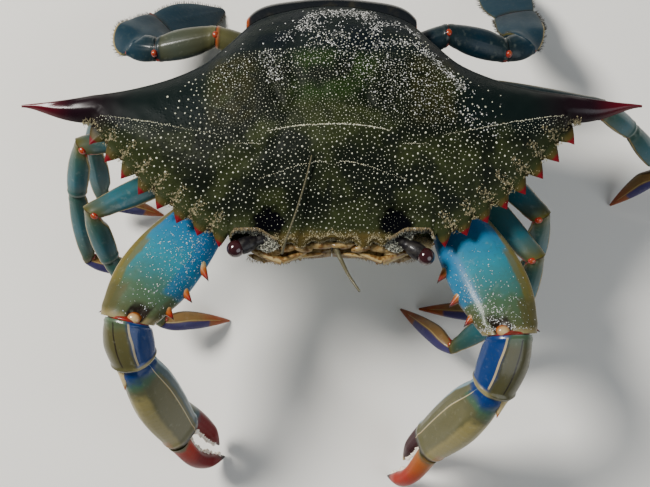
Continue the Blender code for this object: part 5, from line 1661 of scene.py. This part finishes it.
class CRAB_OT_legs(Step, bpy.types.Operator):
    """Builds the six walking legs"""

    bl_idname = "crab.legs"
    bl_label = "Walking legs"

    def build(self, scene):
        look = scene.crab_leg
        # Painted shade: the band at 0.75 darkens the lower faces of the legs
        edges = ((0.5, 0.05, (0.0, 1.0), look.olive, 0.85), (0.0, 0.05, (0.0, 1.0), look.olive, 0.75),
                 (0.47, 0.012, (0.03, 0.97), look.cream, 0.8), (0.03, 0.012, (0.03, 0.97), look.cream, 0.7),
                 (0.75, 0.17, (0.0, 1.0), look.shade, 0.85))
        red_end = (0.0, 0.05, (0.97, 1.0), look.joint, 0.9)
        red_start = (0.0, 0.06, (0.0, 0.015), look.joint, 0.9)
        # Painted shade: the band at 0.75 darkens the dactyl's lower face
        claw_bands = ((0.02, 0.05, (0.0, 0.7), look.shade, 0.5), (0.39, 0.1, (0.0, 0.62), look.violet, 0.9),
                      (0.25, 0.008, (0.0, 0.8), look.cream, 0.8), (0.5, 0.018, (0.0, 0.9), look.tip, 0.9),
                      (0.75, 0.12, (0.0, 0.9), look.shade, 0.7), red_start)
        stops = {"merus": ((0.0, look.teal), (0.4, look.teal), (0.8, look.blue), (1.0, look.olive)),
                 "carpus": ((0.0, look.olive), (0.2, look.teal), (0.7, look.blue), (1.0, look.teal)),
                 "propodus": ((0.0, look.teal), (0.5, look.blue), (0.85, look.teal), (1.0, look.olive)),
                 "dactyl": ((0.0, look.tan), (0.45, look.tan), (0.8, look.tip), (1.0, look.tip))}
        bands = {"merus": edges + (red_end,), "carpus": edges + (red_start, red_end),
                 "propodus": edges + (red_end,), "dactyl": claw_bands}
        skins = {piece: limb_finish("crab_leg_" + piece, stops[piece], bands[piece]) for piece in LEG_SHAPES}
        # Painted shade: the piece that lies wholly in shade gets a skin that is dark all over
        dark = limb_finish("crab_leg_painted_shade", ((0.0, look.shade), (1.0, look.shade)), edges[:1], pale=0.02)
        for (side, number), limb in leg_limbs().items():
            for index, piece in enumerate(LEG_SHAPES):
                name = f"{side_name(side)}_leg_{number}_{piece}"
                rings, marks = limb_rings(limb, index, LEG_SHAPES[piece], 36, 40, last=piece == "dactyl",
                                          detail=leg_detail(piece))
                for point in (point for ring in rings for point in ring):
                    point.z = max(point.z, 0.0)
                skin = dark if (side, number, piece) == SHADED_PIECE else skins[piece]
                dressed(lofted(name + "_shell", rings, marks), skin, "leg_shell", name, angle=70)


def swimmer_limbs():
    return [Limb(side, SWIMMER_ROOT, steps, out) for side, (out, steps) in SWIMMER_POSES.items()]


def swimmer_shape(piece, side):
    shape = dict(SWIMMER_SHAPES[piece])
    if side < 0 and piece in RIGHT_PLATES:
        shape["fore"] = RIGHT_PLATES[piece]
    return shape


def paddle_detail(t, turn):
    ribs = 0.12 * (bell(turn, 0.25, 0.012) + bell(turn, 0.16, 0.02) * 0.5 + bell(turn, 0.34, 0.02) * 0.5)
    return ribs * math.sin(math.pi * mix(0.05, 0.95, t))


class CRAB_OT_swimmers(Step, bpy.types.Operator):
    """Builds the swimming legs with their paddles and fringes"""

    bl_idname = "crab.swimmers"
    bl_label = "Swimming legs"

    def build(self, scene):
        look = scene.crab_leg
        # Painted shade: the under band at 0.75 darkens the lower faces
        under = (0.75, 0.18, (0.0, 1.0), look.shade, 0.6)
        rim = (0.5, 0.03, (0.0, 1.0), look.olive, 0.8)
        rim_front = (0.0, 0.03, (0.0, 1.0), look.sand, 0.9)
        red = (0.0, 0.06, (0.97, 1.0), look.joint, 0.9)
        bronze = (0.3, 0.2, (0.0, 0.9), look.sand, 0.45)
        stops = {"base": ((0.0, look.shade), (0.9, look.sand), (1.0, look.tip)),
                 "merus": ((0.0, look.sand), (0.2, look.shade), (0.7, look.navy), (1.0, look.shade)),
                 "painted_shade": ((0.0, look.shade), (0.5, look.deep), (1.0, look.shade)),
                 "carpus": ((0.0, look.shade), (1.0, look.navy)),
                 "propodus": ((0.0, look.navy), (0.5, look.navy), (1.0, look.deep)),
                 "paddle": ((0.0, look.shade), (0.05, look.navy), (0.6, look.navy), (1.0, look.deep))}
        bands = {"base": (under,), "merus": (under, bronze, rim, red), "painted_shade": (under, rim, red),
                 "carpus": (under, rim, red),
                 "propodus": (rim, rim_front, (0.99, 0.05, (0.1, 0.6), look.cream, 0.7)),
                 "paddle": (rim, rim_front)}
        flat = dict(roughness=0.45, coat=0.0, pale=0.02)
        gloss = {"carpus": dict(coat=0.15), "propodus": flat, "paddle": flat}
        skins = {piece: limb_finish("crab_swimmer_" + piece, stops[piece], bands[piece],
                                    **gloss.get(piece, dict(coat=0.1))) for piece in stops}
        draw = random.Random(scene.crab_studio.seed + 4)
        fringe = Crowd(hair_shape())
        for limb in swimmer_limbs():
            for index, piece in enumerate(SWIMMER_SHAPES):
                name = f"{side_name(limb.side)}_swimmer_{piece}"
                plate = piece in RIGHT_PLATES
                rings, marks = limb_rings(limb, index, swimmer_shape(piece, limb.side), 40, 56,
                                          last=piece == "paddle", detail=paddle_detail if plate else leg_detail(piece))
                # Painted shade: on the left side the base and merus, which lie in shade, get a dark skin
                skin = skins["painted_shade" if limb.side > 0 and piece in ("base", "merus") else piece]
                dressed(lofted(name + "_shell", rings, marks), skin, "paddle_shell", name, angle=70)
                for _ in range(PLATE_HAIRS if plate else 0):
                    self.hair(draw, rings, fringe)
        fringe.made("paddle_fringe", grain_finish("crab_paddle_hair", look.hair, look.shade, 0.6), "paddle_shell")

    def hair(self, draw, rings, fringe):
        """One hair on the thin edge of a plate."""
        row = rings[draw.randrange(3, len(rings) - 2)]
        edge = draw.choice((0, len(row) // 2))
        spot = row[(edge + draw.choice((-1, 0, 1))) % len(row)]
        out = (spot - sum(row, Vector()) / len(row)).normalized()
        ahead = (rings[-1][0] - rings[0][0]).normalized()
        way = out + ahead * draw.uniform(0.3, 0.9) + Vector((draw.gauss(0, 0.1),) * 3)
        fringe.add(spot - out * 0.3, way, draw.uniform(0, FULL_TURN),
                   (HAIR_HALF, HAIR_HALF, draw.uniform(0.9, 1.7)), draw.random())


def joint_pads(limbs, shapes, share, thick):
    """Skin that fills the joints of limbs: a rounded disc in each plane where two pieces meet."""
    pads = []
    for limb in limbs:
        for index, piece in enumerate(list(shapes)[1:], 1):
            centre, up, lead = limb.hinge(index)
            wide = lead * shapes[piece]["fore"][0] * share
            high = up * shapes[piece]["top"][0] * share
            rings = pebble(centre, limb.normals[index] * thick, wide, high, 14, 28, power=0.5, least=0.0,
                           dent=lambda a: 1 + 0.04 * math.sin(5 * a + index))
            # A tiny shift keeps the points of the two poles apart
            pads.append(lofted("pad", [[p + lead * 0.001 * i for i, p in enumerate(ring)] for ring in rings]))
    return pads


class CRAB_OT_joints(Step, bpy.types.Operator):
    """Fills the joints of the limbs with skin and adds the knobs of the joints"""

    bl_idname = "crab.joints"
    bl_label = "Joints"

    def build(self, scene):
        look = scene.crab_claw
        leg = scene.crab_leg
        legs = leg_limbs().values()
        swimmers = swimmer_limbs()
        claws = claw_limbs()
        skin = self.folded("crab_joint_skin", (0.1, 0.02, 0.008), leg.shade, 0.7, 0.12, 0.45, (1.0, 1.0, 3.0))
        pads = joint_pads(legs, LEG_SHAPES, 0.93, 1.1) + joint_pads(swimmers, SWIMMER_SHAPES, 0.92, 1.0)
        dressed(joined("leg_joint_skin", pads), skin, "leg_shell", angle=70)
        skin = self.folded("crab_claw_joint_skin", look.joint, (0.12, 0.02, 0.01), 1.1, 0.15, 0.4)
        dressed(joined("claw_joint_skin", joint_pads(claws, CLAW_SHAPES, 0.95, 1.4)), skin, "claw_shell", angle=70)

        claw_knobs = []
        for limb in claws:
            centre, up, lead = limb.hinge(1)
            centre = centre + up * 3.3 + lead * 1.4 - limb.directions[0]
            claw_knobs.append(self.knob(centre, up, lead, 2.0, 1.6))
        leg_knobs = []
        for limb in legs:
            for index, size in ((1, 1.15), (3, 0.8)):
                centre, up, lead = limb.hinge(index)
                leg_knobs.append(self.knob(centre + up * size * 1.3 + lead * size, up, lead, size, size * 0.7))
        for limb in swimmers:
            for index, rise, out, size in ((1, 2.0, 0.0, 1.2), (2, 1.9, 1.6, 1.1)):
                centre, up, lead = limb.hinge(index)
                leg_knobs.append(self.knob(centre + up * rise + lead * out, up, lead, size, 0.9))
        red = limb_finish("crab_red_knob", ((0.0, leg.joint), (0.7, leg.joint), (1.0, leg.tip)), coat=0.8, pale=0.0)
        dressed(joined("leg_knobs", leg_knobs), red, "leg_shell", angle=70)
        horn = Finish("crab_knob", roughness=0.25, coat=0.6)
        horn.raise_by(horn.noise(0.6, 3), 0.04)
        horn.colour = horn.ramp(horn.mark("run"), (0.0, look.joint), (0.35, look.joint), (0.6, look.knob),
                                (1.0, look.cream))
        dressed(joined("claw_knobs", claw_knobs), horn.done(), "claw_shell", angle=70)

    def folded(self, name, colour, fold, size, depth, roughness, stretch=None):
        """Soft skin with darker folds."""
        skin = Finish(name, colour, roughness=roughness, coat=0.3, under=0.1)
        folds = skin.noise(size, 4, stretch=stretch)
        skin.raise_by(folds, depth)
        skin.paint(fold, skin.mask(folds, 0.35, 0.65))
        return skin.done()

    def knob(self, centre, up, lead, wide, tall, sides=32, rows=18):
        """A rounded hinge knob, dented on one side."""
        rings = pebble(centre, up * tall, lead * wide, up.cross(lead) * wide * 0.85, rows, sides,
                       dent=lambda a: 1 - 0.12 * math.exp(-((a - 1.9) / 0.3) ** 2))
        return lofted("knob", rings, round_marks([k / rows for k in range(rows + 1)], sides))


# The face

def face_spot(point, side):
    return stand((-side * point[0], point[1], point[2]))


class CRAB_OT_eyes(Step, bpy.types.Operator):
    """Builds the eyes and their stalks"""

    bl_idname = "crab.eyes"
    bl_label = "Eyes"

    def build(self, scene):
        look = scene.crab_face
        skin = Finish("crab_eye", look.eye, roughness=0.12, coat=1.0, coat_roughness=0.03)
        skin.raise_by(skin.cells(0.12), 0.006)
        skin.paint((0.035, 0.009, 0.011), skin.mask(skin.noise(1.5, 3), 0.35, 0.7))
        eye_skin = skin.done()
        skin = Finish("crab_eyestalk", look.stalk, roughness=0.45, coat=0.15)
        skin.raise_by(skin.noise(0.5, 4), 0.1)
        skin.paint((0.02, 0.018, 0.016), skin.mask(skin.noise(1.2, 4), 0.4, 0.62))
        stalk_skin = skin.done()
        for side in (-1, 1):
            centre = face_spot(EYE_CENTRES[side], side)
            face = (face_spot(STALK_FACE, side) - face_spot((0, 0, 0), side)).normalized()
            root = face_spot(STALK_ROOT, side) - face * 0.2
            way = (centre - root).normalized()
            up = level_up(way)
            rings = pebble(centre, way * EYE_RADIUS * 1.04, up.cross(way) * EYE_RADIUS, up * EYE_RADIUS * 0.97, 26, 36)
            dressed(lofted(side_name(side) + "_eye_ball", rings), eye_skin, "eye", side_name(side) + "_eye", angle=80)
            rings = []
            end = centre - way * EYE_RADIUS * 0.6
            for k in range(31):
                t = k / 30
                facing = face.lerp(way, ease(t * 2)).normalized()
                high = level_up(facing)
                girth = STALK_HALF * (1.0 + 0.12 * math.sin(t * 9) + 0.22 * ease((t - 0.3) / 0.4)
                                      - 0.15 * bell(t, 0.55, 0.08))
                rings.append(oval(root + (end - root) * t, high.cross(facing) * girth, high * girth * 0.9, 28))
            stalk = lofted(side_name(side) + "_stalk", rings)
            dressed(stalk, stalk_skin, "mouthparts", side_name(side) + "_eyestalk", angle=80)


class CRAB_OT_feelers(Step, bpy.types.Operator):
    """Builds the jointed feelers"""

    bl_idname = "crab.feelers"
    bl_label = "Feelers"

    def build(self, scene):
        look = scene.crab_face
        skin = Finish("crab_feeler", roughness=0.4, coat=0.2)
        run = skin.mark("run")
        rings_of = skin.calc("SINE", skin.times(run, FEELER_JOINTS))
        skin.raise_by(rings_of, 0.03)
        skin.colour = skin.ramp(run, (0.0, look.mouth), (0.2, look.feeler), (1.0, look.feeler))
        skin.paint(look.stalk, 0.4, skin.mask(rings_of, 0.2, 1.0))
        skin = skin.done()
        runs = [k / 110 for k in range(111)]
        for side, path in ((-1, RIGHT_FEELER), (1, LEFT_FEELER)):
            spots = [stand(p) for p in path]
            rings = []
            for t in runs:
                way = along(spots, min(t + 0.01, 1.0)) - along(spots, max(t - 0.01, 0.0))
                wide = way.cross(Vector((0.3, 0.1, 1.0))).normalized()
                high = wide.cross(way).normalized()
                half = mix(*FEELER_HALF[side], t ** 0.7) * (1 + 0.35 * bell(t, 0.12, 0.03) + 0.25 * bell(t, 0.3, 0.02)
                                                            + 0.05 * math.sin(t * FEELER_JOINTS))
                rings.append(oval(along(spots, t), wide * half, high * half, 14))
            feeler = lofted(side_name(side) + "_feeler_rod", rings, round_marks(runs, 14))
            dressed(feeler, skin, "mouthparts", side_name(side) + "_feeler", angle=80)


def table_row(rows, x):
    """A row of a table at x, each column on a smooth curve; the first column is x."""
    return [curve_at([(row[0], row[c]) for row in rows], x) for c in range(1, len(rows[0]))]


class CRAB_OT_mouth(Step, bpy.types.Operator):
    """Builds the outer mouthparts with their hairs and the bases of the feelers"""

    bl_idname = "crab.mouth"
    bl_label = "Mouth"

    def build(self, scene):
        look = scene.crab_face
        skin = Finish("crab_mouth", look.mouth, roughness=0.42, coat=0.3)
        lumps = skin.noise(1.4, 5)
        skin.paint(look.amber, skin.mask(lumps, 0.4, 0.62))
        skin.paint(look.cream, skin.mark("lip"), skin.mask(lumps, 0.65, 0.4))
        skin.paint(look.amber, skin.mask(skin.calc("SINE", skin.times(skin.mark("run"), 15)), 0.97, 1.0))
        skin.raise_by(lumps, 0.25)
        skin.raise_by(skin.noise(0.3, 3), 0.04)
        skin = skin.done()
        leaf = Finish("crab_mouth_leaf", look.mouth, roughness=0.35, coat=0.4)
        lumps = leaf.noise(0.9, 5)
        leaf.paint(look.amber, leaf.mask(lumps, 0.42, 0.6))
        leaf.paint(look.cream, leaf.near(leaf.plus(leaf.mark("turn"), leaf.times(lumps, 0.2)), 0.4, 0.04, 0.03))
        leaf.raise_by(lumps, 0.25)
        leaf_skin = leaf.done()
        draw = random.Random(scene.crab_studio.seed + 5)
        hairs = Crowd(hair_shape())
        for side in (-1, 1):
            plate = self.plate(side, draw, hairs)
            dressed(plate, skin, "mouthparts", side_name(side) + "_mouth_plate", angle=60)
            bases = [self.base(side, *row) for row in FEELER_BASES]
            leaves = [thorn(f"leaf_{k}", stand((side * a[0], *a[1:])), stand((side * b[0], *b[1:])), half,
                            Vector((0, -0.15, 0.25)), blunt=True)
                      for k, (a, b, half) in enumerate(MOUTH_LEAVES)]
            dressed(joined(side_name(side) + "_mouth_leaves", leaves), leaf_skin, "mouthparts", angle=60)
            dressed(joined(side_name(side) + "_feeler_bases", bases), skin, "mouthparts", angle=60)
        hairs.made("mouth_hair", grain_finish("crab_mouth_hair", look.cream, look.amber, 0.6), "mouthparts")

    def plate(self, side, draw, hairs, columns=60):
        """A mouth plate, hollow behind its lower half, and the hairs along its upper edge."""
        rings = []
        for k in range(columns + 1):
            x = mix(MOUTH_PLATE[0][0], MOUTH_PLATE[-1][0], k / columns)
            top, bottom, front, back = table_row(MOUTH_PLATE, x)
            bump = (0.5 * math.sin(x * 2.1) + 0.3 * math.sin(x * 4.7 + side)) * math.sin(math.pi * k / columns)
            crowned = mix(front, back, 0.55)
            section = ((front + bump, top - 0.8), (front + 0.25 + bump, top - 0.25), (front + 0.8, top + 0.05),
                       (mix(front, back, 0.5), top - 0.05), (back - 0.4, top - 0.2), (back, top - 0.9),
                       (back, mix(top, bottom, 0.5)), (back, bottom + 0.6), (back - 0.4, bottom),
                       (back - 1.0, bottom + 0.3), (crowned - 0.2, mix(top, bottom, 0.85)),
                       (crowned - 0.1 - bump, mix(top, bottom, 0.6)),
                       (mix(front, crowned, 0.45), mix(top, bottom, 0.35)), (front + 0.15, top - 1.5))
            size = 0.04 + 0.96 * min(1.0, (columns - k) / 10) ** 0.5
            inner_y, inner_z = mix(front, back, 0.7), mix(top, bottom, 0.35)
            rings.append([stand((side * x, mix(inner_y, y, size), mix(inner_z, z, size))) for y, z in section])
            for _ in range(MOUTH_HAIRS):
                y = mix(front, back, draw.random() ** 2 * 0.6)
                way = stand((draw.gauss(0, 0.5), -1, draw.gauss(0.4, 0.5))) - stand((0, 0, 0))
                hairs.add(stand((side * x, y, top - 0.2 + draw.uniform(-0.5, 0.1))), way,
                          draw.uniform(0, FULL_TURN), (0.05, 0.05, draw.uniform(0.5, 1.3)), draw.random())
        marks = {"run": [[k / columns] * len(MOUTH_LIP) for k in range(columns + 1)],
                 "lip": [MOUTH_LIP] * (columns + 1)}
        return lofted(side_name(side) + "_mouth_shell", rings, marks)

    def base(self, side, x, y, z, wide, tall, turn):
        """A lumpy joint of a feeler's base, beside the mouth."""
        centre = stand((side * x, y, z))
        lead = Vector((side * math.cos(turn), math.sin(turn), 0)).normalized()
        rings = pebble(centre, lead * wide, BODY_UP * tall, lead.cross(BODY_UP) * tall * 0.9, 14, 24,
                       power=0.7, least=0.003)
        rings = [[p + (p - centre) * 0.2 * noise.noise(p * 0.8) for p in ring] for ring in rings]
        return lofted("base", rings, {"run": [[0.03] * 24] * 15, "lip": [[0.3] * 24] * 15})


# Underside

class CRAB_OT_belly(Step, bpy.types.Operator):
    """Finishes the underside, the rings of the tail and the apron"""

    bl_idname = "crab.belly"
    bl_label = "Underside"

    def build(self, scene):
        look = scene.crab_belly
        skin = Finish("crab_belly", look.white, roughness=0.42, coat=0.25)
        fine = skin.noise(1.1, 4)
        skin.paint(look.tint, skin.mask(skin.noise(6, 4), 0.42, 0.65))
        skin.paint(look.seam, 0.35, skin.mask(fine, 0.55, 0.75))
        skin.raise_by(fine, 0.05)
        white = skin.done()
        thorax = frame["nodes"]["thorax"].data.materials
        thorax.clear()
        thorax.append(white)
        self.tail(look, scene.crab_leg)
        self.apron(white)

    def tail(self, look, leg, columns=96, sides=30):
        skin = Finish("crab_tail", look.tail, roughness=0.34, coat=0.4)
        cloud = skin.noise(4, 4)
        skin.paint((0.02, 0.019, 0.013), skin.mask(cloud, 0.5, 0.75))
        skin.paint(leg.tip, skin.mark("knob"), skin.mask(cloud, 0.3, 0.5))
        skin.raise_by(skin.noise(0.8, 4), 0.06)
        rings = []
        knobs = []
        section = [along((*TAIL_SECTION, TAIL_SECTION[0]), i / sides) for i in range(sides)]
        for k in range(columns + 1):
            x = mix(-TAIL_HALF, TAIL_HALF, k / columns)
            out = abs(x) / TAIL_HALF
            flare = TAIL_FLARE * out ** 2 * (1 - out ** 8)
            taper = 1 - 0.3 * out ** 6
            ring = []
            for y, z in section:
                groove = 0.28 * (math.exp(-((z + 2.6) / 0.22) ** 2) + math.exp(-((z + 5.4) / 0.22) ** 2))
                back = rear_y(x) + y + (flare * ease(y) - groove if y > 1 else 0.0)
                ring.append(stand((x, back, z * taper)))
            rings.append(ring)
            knobs.append([ease((out - 0.955) / 0.03) * (z > -3) for y, z in section])
        dressed(lofted("tail_shell", rings, {"knob": knobs}), skin.done(), "back_shell", "tail_rings", angle=60)

    def apron(self, white, rows=64, columns=16):
        rings = []
        for k in range(rows + 1):
            place = k / rows
            y, z = along(APRON_PATH, place)
            ahead = along(APRON_PATH, min(place + 0.01, 1.0))
            way = (ahead - along(APRON_PATH, max(place - 0.01, 0.0))).normalized()
            half = curve_at([(i / 7, h) for i, h in enumerate(APRON_HALVES)], place)
            seam = sum(math.exp(-((place - s) / 0.008) ** 2) for s in APRON_SEAMS)
            ring = []
            for face in (1, -1):
                for i in range(columns + 1):
                    u = -1 + 2 * i / columns
                    thick = APRON_THICK * (1 - u ** 8) * 0.5 - 0.2 * seam + 0.1
                    lift = face * max(0.12, thick * (1 + 0.15 * (1 - u * u)))
                    ring.append(stand((face * u * half, y - way.y * lift, z + way.x * lift)))
            rings.append(ring)
        dressed(lofted("apron_shell", rings), white, "belly_shell", "apron", angle=60)


# Studio

class CRAB_OT_studio(Step, bpy.types.Operator):
    """Sets the floor, the lights and the camera"""

    bl_idname = "crab.studio"
    bl_label = "Studio"

    def build(self, scene):
        look = scene.crab_studio
        bpy.ops.object.select_all(action="DESELECT")
        bpy.ops.mesh.primitive_plane_add(size=6.0, location=(0, 0, -0.0002))
        floor = bpy.context.object
        floor.name = "floor"
        skin = Finish("studio_floor", look.floor, roughness=0.7)
        skin.raise_by(skin.noise(1.5, 2), 0.01)
        floor.data.materials.append(skin.done())
        self.light("key", (-0.52, 0.3, 0.68), 0.26, look.key, (1.0, 0.97, 0.92))
        self.light("fill", (0.55, -0.4, 0.6), 0.8, look.fill, (0.9, 0.95, 1.0))
        room = bpy.data.worlds.new("studio_room")
        room.use_nodes = True
        back = room.node_tree.nodes["Background"]
        back.inputs["Color"].default_value = (0.86, 0.92, 1.0, 1.0)
        back.inputs["Strength"].default_value = look.world
        scene.world = room
        lens = bpy.data.cameras.new("camera")
        lens.lens = CAMERA_LENS
        lens.sensor_width = 36.0
        lens.clip_start = 0.01
        camera = bpy.data.objects.new("camera", lens)
        camera.location = world(CAMERA_PLACE)
        camera.rotation_euler = (CAMERA_TIP, 0.0, 0.0)
        scene.collection.objects.link(camera)
        scene.camera = camera

    def light(self, name, place, size, power, colour):
        lamp = bpy.data.lights.new(name, "AREA")
        lamp.shape = "DISK"
        lamp.size = size
        lamp.energy = power * 10
        lamp.color = colour
        piece = bpy.data.objects.new(name, lamp)
        piece.location = place
        piece.rotation_euler = (-Vector(place)).to_track_quat("-Z", "Y").to_euler()
        bpy.context.scene.collection.objects.link(piece)


STEPS = (CRAB_OT_studio, CRAB_OT_shell, CRAB_OT_grains, CRAB_OT_felt, CRAB_OT_specks, CRAB_OT_arms,
         CRAB_OT_hands, CRAB_OT_legs, CRAB_OT_swimmers, CRAB_OT_joints, CRAB_OT_eyes, CRAB_OT_feelers,
         CRAB_OT_mouth, CRAB_OT_belly)
LOOKS = {"crab_shell": ShellLook, "crab_claw": ClawLook, "crab_leg": LegLook, "crab_face": FaceLook,
         "crab_belly": BellyLook, "crab_studio": StudioLook}


class CRAB_PT_panel(bpy.types.Panel):
    """Lists the steps that dress the crab"""

    bl_label = "Blue Crab"
    bl_idname = "CRAB_PT_panel"
    bl_space_type = "VIEW_3D"
    bl_region_type = "UI"
    bl_category = "Crab"

    def draw(self, context):
        for step in STEPS:
            self.layout.operator(step.bl_idname)


def register():
    for name, look in LOOKS.items():
        bpy.utils.register_class(look)
        setattr(bpy.types.Scene, name, PointerProperty(type=look))
    for step in STEPS:
        bpy.utils.register_class(step)
    bpy.utils.register_class(CRAB_PT_panel)


def unregister():
    bpy.utils.unregister_class(CRAB_PT_panel)
    for step in reversed(STEPS):
        bpy.utils.unregister_class(step)
    for name, look in reversed(LOOKS.items()):
        delattr(bpy.types.Scene, name)
        bpy.utils.unregister_class(look)


def main():
    register()
    for step in STEPS:
        group, action = step.bl_idname.split(".")
        getattr(getattr(bpy.ops, group), action)()


if __name__ == "__main__":
    main()
